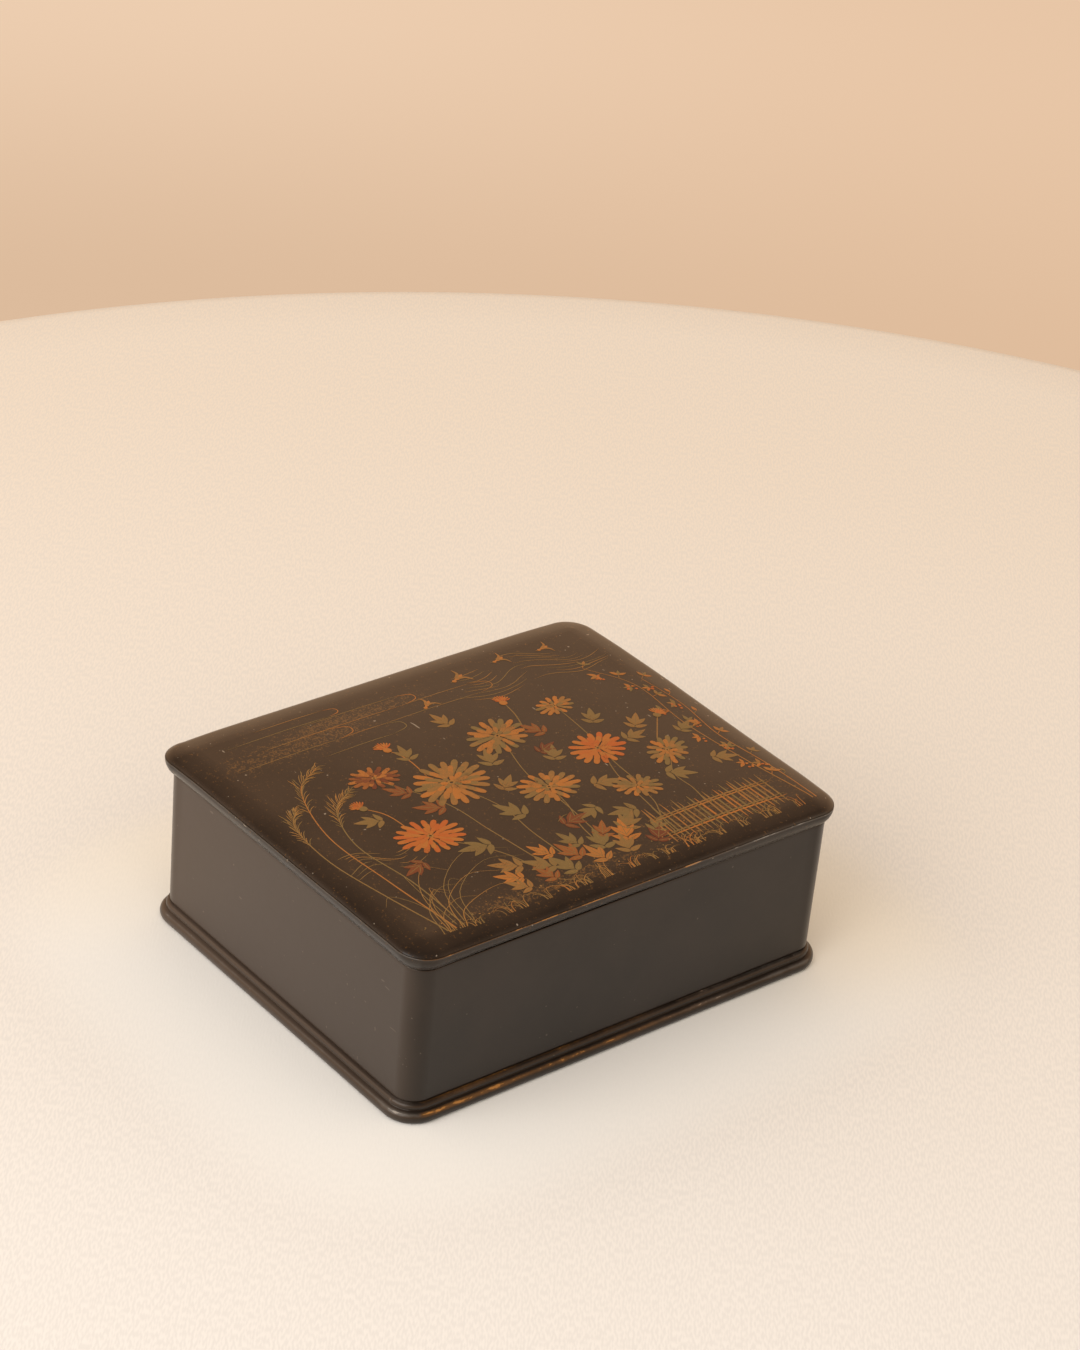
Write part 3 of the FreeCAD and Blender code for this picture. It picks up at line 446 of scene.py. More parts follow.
class WRITINGBOX_OT_body(bpy.types.Operator):
    """Covers the walls and the foot with one lacquer skin"""

    bl_idname = "writing_box.body"
    bl_label = "Lacquer the Walls and Foot"

    def execute(self, context):
        look = context.scene.writing_box_lacquer
        finish = lacquer(
            "box_lacquer", look.box_colour, look.box_haze, roughness=0.36, dust=0.12,
            sheen=(1.0, 0.87, 0.76, 1.0), depth=1.35
        )
        section = body_section()
        round_box = stations(*BODY_CELLS)
        points, wears, painted_window_lights, edge_glints, rings = [], [], [], [], []
        for offset, height, wear in section:
            ring = []
            for station in round_box:
                x, y = stand(station, offset)
                hidden = offset < -1.0
                if height > FOOT_TOP + 0.7 and not hidden:
                    square = 0.45 + 0.55 * (height - FOOT_TOP) / (JOINT - FOOT_TOP)
                    x, y = stand(station, offset, square * (0.25 if x < 0 and y < 0 else 1.0))
                elif x > 0 > y and not hidden:
                    x, y = stand(station, offset, -0.4)
                push = tremor(x, y, height, 34.0, 0.08) + tremor(x, y, height, 9.0, 0.02) - 0.10
                push = 0.0 if hidden else push
                ring.append(len(points))
                points.append((x + station[2] * push, y + station[3] * push, height))
                front = clamp((-station[3] - 0.86) / 0.12)
                corner = hump(y + HALF_WIDTH - 4.0, 22.0) if x < 4.0 - HALF_LENGTH else 0.0
                handled = 0.45 + 0.55 * front + 0.33 * corner * (1.0 - front)
                wears.append(wear * handled * (0.72 + 0.34 * hump(x + HALF_LENGTH - 20.0, 45.0)))
                # Painted highlight: worn edges painted pale on the right half of the front and on
                # the other sides.
                edge_glints.append(clamp((x - 5.0) / 60.0) if front > 0.5 else 0.95)
                # Painted light: share of paler colour on the left side, which faces the window, a
                # little more towards the back.
                painted_window_lights.append(max(0.0, -station[2]) ** 3 * (0.76 + 0.24 * y / HALF_WIDTH))
            rings.append(ring)
        rings.append(rings[0])
        faces = ring_faces(rings)
        skin = build("box_skin", points, faces, finish, wear=wears, fade=painted_window_lights, pale=edge_glints)
        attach(skin, "box")
        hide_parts("corner_keys", *group("wall"), *group("foot"))
        return {"FINISHED"}


def shoulder_run():
    """The lid's top moulding from the panel's edge out to the arris, as (offset, height)."""
    rim = arc((PANEL_INSET, RIM_TOP), (SHOULDER_REACH, SHOULDER_TOP), -0.19, 9)
    roll = arc((SHOULDER_REACH, SHOULDER_TOP), (ARRIS_REACH, ARRIS_HEIGHT), -0.288, 8)
    return rim + roll[1:]


def dome(x, y, rise, margin=0.0):
    """Height of a pillow shape above its edge."""
    u = min(1.0, abs(x) / (HALF_LENGTH + PANEL_INSET - margin))
    v = min(1.0, abs(y) / (HALF_WIDTH + PANEL_INSET - margin))
    return rise * (1.0 - u ** DOME_POWER) * (1.0 - v ** DOME_POWER)


def corner_droop(x, y):
    """How far the lid's corners have been rubbed and have sunk; the near one hasn't."""
    if x < 0 and y < 0:
        return 0.0
    return DROOP * hump(math.hypot(abs(x) - HALF_LENGTH, abs(y) - HALF_WIDTH), DROOP_REACH)


def lid_top(x, y):
    """Height of the lid's upper face."""
    return lid_shape(x, y) - corner_droop(x, y)


def lid_shape(x, y):
    """The same height on a new lid."""
    past_x, past_y = abs(x) - (HALF_LENGTH - CORNER), abs(y) - (HALF_WIDTH - CORNER)
    if past_x > 0 and past_y > 0:
        offset = math.hypot(past_x, past_y) - CORNER
    else:
        offset = max(past_x, past_y) - CORNER
    if offset <= PANEL_INSET:
        return RIM_TOP + dome(x, y, DOME_RISE)
    run = shoulder_run()
    for (o0, z0), (o1, z1) in zip(run[:-1], run[1:]):
        if offset <= o1:
            return z0 + (z1 - z0) * (offset - o0) / (o1 - o0)
    return ARRIS_HEIGHT


def joint_lift(x, y):
    """How far the lid's rim stands off the wall: it has bowed up along the front."""
    if y > -HALF_WIDTH + CORNER:
        return 0.0
    gap = bpy.context.scene.writing_box_lacquer.joint_gap / MM
    return gap * max(0.0, 1.0 - abs((x - GAP_MIDDLE) / GAP_REACH) ** 3)


CLOUD_BANKS = (
    (-66.0, 60.0, 40.0, 7.0), (-30.0, 69.0, 40.0, 5.0),
    (60.0, -70.0, 40.0, 9.0), (-40.0, -80.0, 50.0, 6.0),
)


def cloud_density(x, y):
    """Density of the gold dust sprinkled in banks of mist."""
    total = 0.0
    for centre_x, centre_y, reach_x, reach_y in CLOUD_BANKS:
        total += math.exp(-((x - centre_x) / reach_x) ** 4 - ((y - centre_y) / reach_y) ** 2)
    return min(1.0, total)


def lid_section():
    """The lid's rims from the panel round to its hollow, as (offset, height, wear) points."""
    band = arc((ARRIS_REACH, ARRIS_HEIGHT), (0.0, JOINT), -1.115, 9)
    section = [(o, z, 0.0) for o, z in shoulder_run()[1:-1]]
    arris = ((0.42, 0.10, 0.1), (0.14, 0.10, 0.9), (0.0, -0.12, 1.0), (0.10, -0.46, 0.35))
    section += [(ARRIS_REACH - o, ARRIS_HEIGHT + z, wear) for o, z, wear in arris]
    section += [(o, z, 0.10) for o, z in band[1:-1]]
    section += [(0.05, JOINT + 0.12, 0.28), (-0.15, JOINT, 0.1), (-3.0, JOINT, 0.0)]
    section += [(LID_INSIDE + 0.2, JOINT, 0.0), (LID_INSIDE, JOINT + 0.2, 0.0)]
    return section + [(LID_INSIDE, UNDERSIDE, 0.0), (PANEL_INSET, UNDERSIDE, 0.0)]


def rim_wear(x, y, height):
    """How far hands have rubbed the lid's rims: most along the front."""
    front = 1.0 if y < -HALF_WIDTH + 4.0 else 0.9 if x < -HALF_LENGTH else 0.5
    if y < -HALF_WIDTH and abs(x - CHIP_MIDDLE) < CHIP_REACH and height > ARRIS_HEIGHT - 0.6:
        return 1.9 * front
    return front * (0.66 + 0.28 * hump(x + 40.0, 45.0) + 0.22 * clamp((x - 35.0) / 20.0))


class WRITINGBOX_OT_lid(bpy.types.Operator):
    """Covers the lid's panel and rims with one lacquer skin"""

    bl_idname = "writing_box.lid"
    bl_label = "Lacquer the Lid"

    def execute(self, context):
        look = context.scene.writing_box_lacquer
        finish = lacquer(
            "lid_lacquer", look.lid_colour, look.lid_haze, roughness=0.34, dust=0.45,
            sheen=(1.0, 0.97, 0.93, 1.0), depth=1.405, cloud=context.scene.writing_box_gold.fine
        )
        columns, lines = LID_CELLS
        round_box = stations(columns, lines)
        points, wears, clouds, edge_glints, band_shades = [], [], [], [], []

        def add(x, y, z, wear, cloud=0.0):
            points.append((x, y, z))
            wears.append(wear)
            clouds.append(cloud)
            front = y < -HALF_WIDTH
            # Painted highlight: worn rims painted pale on the right of the front and on the other
            # sides.
            edge_glints.append(clamp((x - 22.0) / 30.0) if front else 0.85)
            # Painted shade: how far the front band below the arris is darkened.
            band_shades.append(clamp((ARRIS_HEIGHT - 0.4 - z) / 1.2) if front else 0.0)
            return len(points) - 1

        def sheet(height_at):
            flat_x, flat_y = HALF_LENGTH - CORNER, HALF_WIDTH - CORNER
            grid = []
            for row in range(lines + 1):
                y = flat_y * (2.0 * row / lines - 1.0)
                line = []
                for column in range(columns + 1):
                    x = flat_x * (2.0 * column / columns - 1.0)
                    line.append(height_at(x, y))
                grid.append(line)
            right, left = [line[-1] for line in grid], [line[0] for line in grid[::-1]]
            edge = []
            for run in (grid[0], right, grid[-1][::-1], left):
                edge += run + [run[-1]] * (CORNER_CELLS - 1)
            return grid, edge

        top, top_edge = sheet(lambda x, y: add(x, y, lid_top(x, y), 0.0, cloud_density(x, y)))
        under, under_edge = sheet(
            lambda x, y: add(x, y, UNDERSIDE + dome(x, y, HOLLOW_RISE, HOLLOW_MARGIN), 0.0)
        )
        rings = [top_edge]
        for offset, height, wear in lid_section():
            ring = []
            for station in round_box:
                x, y = stand(station, offset)
                outside = clamp((offset + 4.0) / 4.0)
                if outside > 0.0:
                    x, y = stand(station, offset, outside * (1.1 if x < 0 < y else 0.2))
                lift = joint_lift(x, y) * clamp((JOINT + 5.0 - height) / 5.0)
                lift = lift if offset > LID_INSIDE + 0.1 else 0.0
                lift -= corner_droop(x, y) * clamp((height - JOINT) / (ARRIS_HEIGHT - JOINT))
                if x > HALF_LENGTH - CORNER:
                    x += SIDE_BOW * outside * hump(y - SIDE_BOW_MIDDLE, SIDE_BOW_REACH)
                push = outside * (tremor(x, y, height, 22.0, 0.10) + tremor(x, y, 0.0, 6.0, 0.035))
                ring.append(add(
                    x + station[2] * push, y + station[3] * push, height + lift,
                    wear * rim_wear(x, y, height), cloud_density(x, y) * clamp(-offset / 3.0)
                ))
            rings.append(ring)
        rings.append(under_edge)
        faces = [face[::-1] for face in ring_faces(rings)]
        for grid, turned in ((top, False), (under, True)):
            for low, high in zip(grid[:-1], grid[1:]):
                for column in range(columns):
                    face = [low[column], low[column + 1], high[column + 1], high[column]]
                    faces.append(face[::-1] if turned else face)
        notes = {"wear": wears, "cloud": clouds, "pale": edge_glints, "under": band_shades}
        skin = build("lid_skin", points, faces, finish, 40.0, **notes)
        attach(skin, "lid")
        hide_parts("lid_panel", *group("lid_rim"))
        return {"FINISHED"}


# Raised gold work on the lid.

def curve(knots, steps):
    """A smooth line through its knots."""
    ends = [tuple(2 * a - b for a, b in zip(knots[0], knots[1]))] + list(knots)
    ends.append(tuple(2 * a - b for a, b in zip(knots[-1], knots[-2])))
    found = []
    for p0, p1, p2, p3 in zip(ends, ends[1:], ends[2:], ends[3:]):
        for step in range(steps):
            t = step / steps
            found.append(tuple(
                0.5 * (2 * b + (c - a) * t + (2 * a - 5 * b + 4 * c - d) * t * t
                       + (3 * b - a - 3 * c + d) * t ** 3)
                for a, b, c, d in zip(p0, p1, p2, p3)
            ))
    found.append(tuple(knots[-1]))
    return found


DECOR_HALF_LENGTH, DECOR_HALF_WIDTH = HALF_LENGTH - 2.0, HALF_WIDTH - 2.0
SUNK = 0.012
RIDGE = ((-1.0, 0.0), (-0.6, 0.4), (0.0, 0.5), (0.6, 0.4), (1.0, 0.0))
MOUND = ((0.03, 0.5), (0.5, 0.5), (0.9, 0.4), (1.0, 0.0))


class Relief:
    """Raised lacquer work of one colour, laid on the lid's upper face."""

    def __init__(self, name, finish, draw):
        self.name, self.finish, self.draw = name, finish, draw
        self.points, self.faces, self.tints, self.shading_heights = [], [], [], []
        self.unit = bpy.context.scene.writing_box_gold.relief / MM

    def rows(self, rows, tint, closed=False, base=0.0):
        """A patch from rows of (x, y, height share) points, left out if it runs off the lid."""
        spots = [spot for row in rows for spot in row]
        if any(abs(x) > DECOR_HALF_LENGTH or abs(y) > DECOR_HALF_WIDTH for x, y, _ in spots):
            return
        tint = self.draw.random() if tint is None else tint
        numbers = []
        for row in rows:
            line = []
            for x, y, share in row:
                line.append(len(self.points))
                self.points.append((x, y, lid_top(x, y) + self.unit * (base + share) - SUNK))
                self.tints.append(tint)
                self.shading_heights.append(share)
            numbers.append(line)
        for low, high in zip(numbers[:-1], numbers[1:]):
            count = len(low)
            for spot in range(count if closed else count - 1):
                after = (spot + 1) % count
                self.faces.append((low[spot], low[after], high[after], high[spot]))

    def stroke(self, knots, width, base=0.3, steps=6, tint=None, swell=None):
        """A brushed line; swell gives its share of the width along the way."""
        line = curve(knots, steps) if steps > 1 else knots
        rows = []
        for spot, (x, y) in enumerate(line):
            before, after = line[max(0, spot - 1)], line[min(len(line) - 1, spot + 1)]
            run, rise = after[0] - before[0], after[1] - before[1]
            size = math.hypot(run, rise) or 1.0
            share = spot / (len(line) - 1)
            fill = swell(share) if swell else min(1.0, 0.2 + 4.5 * share * (1 - share))
            half = width / 2 * fill
            nx, ny = -rise / size * half, run / size * half
            rows.append([(x + nx * side, y + ny * side, lift) for side, lift in RIDGE])
        self.rows(rows, tint, base=base)

    def leaf(self, base_spot, tip, width, bend=0.0, base=0.5, shape=None, tint=None, steps=5):
        """A leaf or petal about a bent axis; shape gives its half width along the way."""
        (x, y), (run, rise) = base_spot, (tip[0] - base_spot[0], tip[1] - base_spot[1])
        middle = ((x + tip[0]) / 2 - rise * bend, (y + tip[1]) / 2 + run * bend)
        shape = shape or (lambda t: max(0.02, math.sin(math.pi * t ** 0.8)))
        self.stroke(curve([base_spot, middle, tip], steps), width, base, 1, tint, shape)

    def patch(self, x, y, outline, base=0.4, tint=None):
        """A shape filled about its middle, sinking at its outline."""
        rings = []
        for share, lift in MOUND:
            rings.append([(x + (px - x) * share, y + (py - y) * share, lift) for px, py in outline])
        self.rows(rings, tint, closed=True, base=base)

    def disc(self, x, y, radius, base=0.6, tint=None, sides=12, squash=1.0):
        turns = [2 * math.pi * side / sides for side in range(sides)]
        outline = [(x + radius * math.cos(a), y + radius * squash * math.sin(a)) for a in turns]
        self.patch(x, y, outline, base, tint)

    def finish_object(self):
        # The height share at each point also drives the painted shade at the work's edges.
        notes = {"tint": self.tints, "lift": self.shading_heights}
        piece = build(self.name, self.points, self.faces, self.finish, 70.0, **notes)
        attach(piece, "lid")
        return piece


def gold_lacquer(name, colour, shift, ground):
    """Coloured gold lacquer: its edges sink into the ground and take the ground's colour, which
    draws outlines and paints shade that makes the work look raised; the ground also shows where it
    is rubbed.
    """
    recipe = Recipe(name, IOR=1.42)
    grains = recipe.grain(0.0006, 2.0)
    patches = recipe.grain(0.009, 5.0, rough=0.65)
    tint = (recipe.note("tint") * 0.7 + patches * 0.5).step(0.25, 0.95)
    mixed = recipe.blend(tint, colour, shift)
    mixed = recipe.blend(grains.step(0.50, 0.75) * 0.4, mixed, times(1.6, colour))
    mixed = recipe.blend((grains * 0.6 + patches * 0.6).step(0.66, 0.84) * 0.7, mixed, ground)
    # Outline and painted shade: the work darkens to the ground's colour towards its sunk edges.
    mixed = recipe.blend(recipe.note("lift").step(0.02, 0.30), ground, mixed)
    recipe.feed(Base_Color=mixed, Roughness=0.46 + (grains - 0.5) * 0.25)
    recipe.bump(grains, 0.00004, 0.6)
    return recipe.material


def toward(x, y, degrees, reach):
    return x + math.cos(math.radians(degrees)) * reach, y + math.sin(math.radians(degrees)) * reach


def petal_shape(t):
    """Half the width of a petal along its way: narrow at the root, round at the end."""
    if t > 0.97:
        return 0.42
    return min(1.0, 0.28 + 0.95 * math.sin(math.pi * min(1.0, t * 0.96) ** 1.6))


# Whorls of a flower: where its petals start and end, how many there are, and how high they lie.
WHORLS = (
    (0.34, 1.00, 1.0, 0.55), (0.24, 0.74, 0.8, 0.70),
    (0.14, 0.50, 0.62, 0.84), (0.04, 0.28, 0.4, 0.98),
)


def blossom(petals, heart, x, y, radius, squash, turn, count, first=0.0, last=360.0):
    """A many-petalled flower seen at a slant: whorls that close towards a knot of short petals."""
    draw = petals.draw
    lean, slant = math.cos(math.radians(turn)), math.sin(math.radians(turn))

    def at(degrees, reach):
        u = radius * reach * math.cos(math.radians(degrees))
        v = radius * reach * math.sin(math.radians(degrees)) * squash
        return x + u * lean - v * slant, y + u * slant + v * lean

    for inner, outer, share, base in WHORLS:
        number_of = max(5, int(count * share))
        phase = draw.random()
        width = 2 * math.pi * radius * (outer * 0.82) * squash * (last - first) / 360.0
        width = width / number_of * 0.84
        for number in range(number_of):
            degrees = first + (last - first) * (number + phase) / number_of
            far = at(degrees + 3.0, outer * (0.94 + 0.09 * draw.random()))
            bend = 0.07 * (draw.random() - 0.5)
            petals.leaf(at(degrees, inner), far, width, bend, base, petal_shape)
    if last - first > 300.0:
        for number in range(7):
            heart.disc(*at(number * 51.4, 0.07), radius * 0.035, 1.1, 0.2, 6)


# Lobes of a leaf: where they leave the midrib, their turn, length and width.
LOBES = (
    (0.0, 62, 0.50, 0.25), (0.0, -62, 0.50, 0.25), (0.22, 38, 0.58, 0.27), (0.22, -38, 0.58, 0.27),
    (0.12, 0, 0.92, 0.36),
)


def lobe_shape(t):
    return max(0.04, math.sin(math.pi * t ** 0.7) ** 0.8)


def lobed_leaf(blade, vein, x, y, angle, length, tint=None):
    """A leaf whose pointed lobes fan forward from its midrib, veined in fine gold."""
    for along, turn, size, width in LOBES:
        root = toward(x, y, angle, length * along)
        tip = toward(*root, angle + turn, length * size)
        blade.leaf(root, tip, length * width, 0.0, 0.30 + 0.1 * along, lobe_shape, tint)
        vein.stroke([root, toward(*root, angle + turn, length * size * 0.8)], 0.38, 0.62, 4, 0.9)


def blade_of_grass(relief, x, y, height, lean, width=0.5):
    """One arching blade, broad at its foot."""
    bends = ((0.0, 0.0), (0.25, 0.62), (1.0, 1.0), (1.6, 0.84))
    knots = [(x + lean * across, y + height * up) for across, up in bends]
    relief.stroke(knots, width, 0.3, 5, None, lambda t: max(0.25, 1.0 - t * 0.75))


def tuft(relief, x, y, height):
    """A small clump of grass."""
    draw = relief.draw
    for _ in range(draw.randint(5, 9)):
        root = x + draw.uniform(-2.5, 2.5)
        reach, lean = height * draw.uniform(0.45, 1.0), draw.uniform(-0.8, 0.8) * height
        blade_of_grass(relief, root, y, reach, lean, draw.uniform(0.4, 0.6))


def plume_grass(stalk, plume, knots):
    """A tall reed whose plume hangs from the end of its stalk."""
    draw = stalk.draw
    line = curve(knots, 14)
    stalk.stroke(line, 0.9, 0.3, 1, None, lambda t: 1.0 - 0.5 * t)
    start = int(len(line) * 0.62)
    for number in range(start, len(line)):
        (x, y), before = line[number], line[number - 1]
        heading = math.degrees(math.atan2(y - before[1], x - before[0]))
        share = (number - start) / (len(line) - start)
        for side in (-1, 1):
            aim = heading + side * draw.uniform(12.0, 38.0)
            fullness = 0.55 + 0.6 * math.sin(math.pi * min(1.0, share + 0.12))
            length = draw.uniform(5.0, 9.0) * fullness
            middle, tip = toward(x, y, aim, length * 0.5), toward(x, y, aim, length)
            hair = [(x, y), (middle[0], middle[1] + 0.4), (tip[0], tip[1] - 0.7)]
            plume.stroke(hair, 0.4, 0.4, 4)


def clover_branch(stem, leaves, flowers, knots):
    """An arching branch with leaves in threes and small hanging flowers."""
    draw = stem.draw
    line = curve(knots, 12)
    stem.stroke(line, 0.8, 0.3, 1, None, lambda t: 1.0 - 0.6 * t)
    for count, number in enumerate(range(8, len(line), 4)):
        (x, y), before = line[number], line[number - 1]
        heading = math.degrees(math.atan2(y - before[1], x - before[0]))
        turn = heading + (1 if count % 2 else -1) * draw.uniform(45, 75)
        hub = toward(x, y, turn, 3.2)
        stem.stroke([(x, y), hub], 0.4, 0.35, 3)
        for spread in (-62, 0, 62):
            size = draw.uniform(3.4, 4.8)
            leaves.leaf(hub, toward(*hub, turn + spread, size), size * 0.5, steps=4)
        if count % 2:
            for _ in range(5):
                spot = toward(hub[0], hub[1] - 2.0, draw.uniform(0, 360), draw.uniform(0.8, 2.8))
                flowers.disc(*spot, 0.7, 0.7, None, 8)


def stream(fine, course, lanes, gap):
    """Long parallel ripples that part and close again."""
    draw = fine.draw
    banks = curve(course, 16)
    for lane in range(-lanes, lanes + 1):
        start = draw.randint(0, 14)
        while start < len(banks) - 12:
            stop = min(len(banks) - 1, start + draw.randint(12, 34))
            knots = []
            for number in range(start, stop, 4):
                x, y = banks[number]
                ripple = 0.8 * math.sin(x / 8.5 + lane * 0.55) + 0.5 * math.sin(x / 3.9 + lane)
                knots.append((x, y + lane * gap * (1.0 + 0.25 * math.sin(x / 27.0)) + ripple))
            if len(knots) > 2:
                fine.stroke(knots, draw.uniform(0.32, 0.45), 0.2, 5)
            start = stop + draw.randint(3, 9)


def mist(line, x, y, length, height):
    """One bar of drifting mist, drawn as an outline with a rounded end."""
    end = x + length
    line.stroke([(x, y), (x + length * 0.5, y + 0.4), (end - height, y)], 0.45, 0.2, 8)
    turn = [(end - height, y), (end - height * 0.2, y + height * 0.18), (end, y + height * 0.5),
            (end - height * 0.2, y + height * 0.82), (end - height, y + height)]
    line.stroke(turn, 0.5, 0.2, 4)
    back = [(end - height, y + height), (x + length * 0.62, y + height + 0.3)]
    line.stroke(back + [(x + length * 0.3, y + height)], 0.45, 0.2, 8)


def wing_shape(t):
    return max(0.05, (1.0 - t) ** 0.6)


def plover(body, fine, x, y, size, turn):
    """A small shore bird on the wing."""
    def at(u, v):
        reach = math.hypot(u, v) * size
        return toward(x, y, turn + math.degrees(math.atan2(v, u)), reach)

    body.leaf(at(-3.4, -0.2), at(3.2, 0.4), 2.6 * size, 0.06, 0.5, tint=0.2)
    body.disc(*at(3.1, 0.7), 1.0 * size, 0.6, 0.2, 10)
    for root, tip, bend in ((0.9, (-3.0, 6.2), 0.2), (0.6, (-3.4, -5.2), -0.2)):
        body.leaf(at(root, 0.1), at(*tip), 2.1 * size, bend, 0.6, wing_shape, 0.6)
    fine.stroke([at(4.0, 0.7), at(5.2, 0.3)], 0.4, 0.8, 3)


def fence(rail, pale, tie, left, right, low, high):
    """A low fence of brushwood, tied to its rails."""
    draw = rail.draw
    x = left
    while x < right:
        lean = draw.uniform(-1.2, 1.2)
        top = high + draw.uniform(-3.0, 2.5)
        stick = [(x, low), (x + lean * 0.5, (low + top) / 2), (x + lean, top)]
        pale.stroke(stick, draw.uniform(0.9, 1.3), 0.3, 5)
        x += draw.uniform(2.2, 3.0)
    for share in (0.24, 0.72):
        y = low + (high - low) * share
        for off in (-0.75, 0.75):
            line = [(left - 2, y + off), ((left + right) / 2, y + off + 0.6), (right + 1, y + off)]
            rail.stroke(line, 1.0, 0.7, 12)
        spot = left + 3.0
        while spot < right:
            for way in (0.9, -0.9):
                tie.stroke([(spot - way, y - 1.6), (spot + way, y + 2.0)], 0.5, 1.1, 3, 0.9)
            spot += 7.4


# The lid's design. Flowers: colour, middle, radius, slant, turn, petals and where the stem starts.
BLOSSOMS = (
    ("orange", -26, 2, 19.0, 0.84, 20, 19, (-18, -66)),
    ("bright", -58, -26, 15.5, 0.8, -15, 18, (-34, -66)),
    ("olive", 14, 22, 16.0, 0.8, 30, 17, (4, -60)),
    ("orange", 8, -22, 15.0, 0.76, 0, 16, (0, -64)),
    ("bright", 46, -8, 14.5, 0.82, 20, 16, (36, -64)),
    ("russet", -52, 22, 12.0, 0.72, -10, 15, (-30, -60)),
    ("orange", 42, -40, 11.5, 0.75, -25, 14, (34, -76)),
    ("olive", 72, -24, 12.5, 0.74, 35, 14, (60, -66)),
    ("orange", 52, 30, 10.0, 0.72, 10, 13, (44, -40)),
)
LEAVES = (
    (-40, -12, 150, 10), (-40, -44, 170, 11), (-10, -14, 40, 9), (-14, -34, 120, 11),
    (-46, 4, 130, 9), (-2, 4, 70, 10), (24, -6, 60, 9), (26, -30, -10, 10),
    (22, 2, 20, 8), (60, -38, -30, 10), (30, -54, 170, 10), (58, 10, 60, 9),
    (34, 14, 120, 9), (86, -38, -20, 9), (62, -8, 10, 9), (-68, -6, 160, 9),
    (-4, -48, 10, 10), (-30, 26, 80, 9), (2, 40, 100, 9), (72, -2, 50, 9),
    (-72, -40, 200, 9), (88, -14, 30, 8), (16, -44, 200, 9),
)
BUDS = ((-70, 6, 5.5, 110), (-34, 38, 6.0, 95), (34, 44, 5.5, 70), (88, 2, 5.5, 40))
MISTS = ((-98, 56, 62, 9), (-80, 65, 84, 8), (-60, 47, 46, 9), (-30, 56, 70, 9), (-92, 74, 60, 6))
PLOVERS = ((30, 72, 1.15, 200), (56, 76, 0.95, 190), (4, 60, 1.0, 215), (80, 74, 0.9, 185))
FAR_STREAM = ((18, 64), (40, 60), (62, 66), (84, 58), (108, 62))
NEAR_STREAM = ((-106, -30), (-92, -26), (-78, -34), (-66, -30))
REEDS = (
    ((-88, -84), (-92, -44), (-94, -4), (-84, 30), (-68, 42)),
    ((-84, -84), (-84, -50), (-88, -16), (-80, 10), (-66, 20)),
    ((-92, -84), (-99, -52), (-104, -20), (-102, 8), (-94, 20)),
)
CLOVERS = (
    ("olive", ((104, -84), (98, -50), (94, -10), (96, 26), (84, 50))),
    ("orange", ((106, -84), (104, -54), (101, -24), (104, 4), (102, 30))),
)
SCRATCH = ((-6.0, -45.5), (-1.5, -43.0), (2.0, -42.5))
SHIFTS = {
    "orange": "olive", "bright": "orange", "olive": "orange", "russet": "orange", "fine": "olive",
}
SEED = 1881


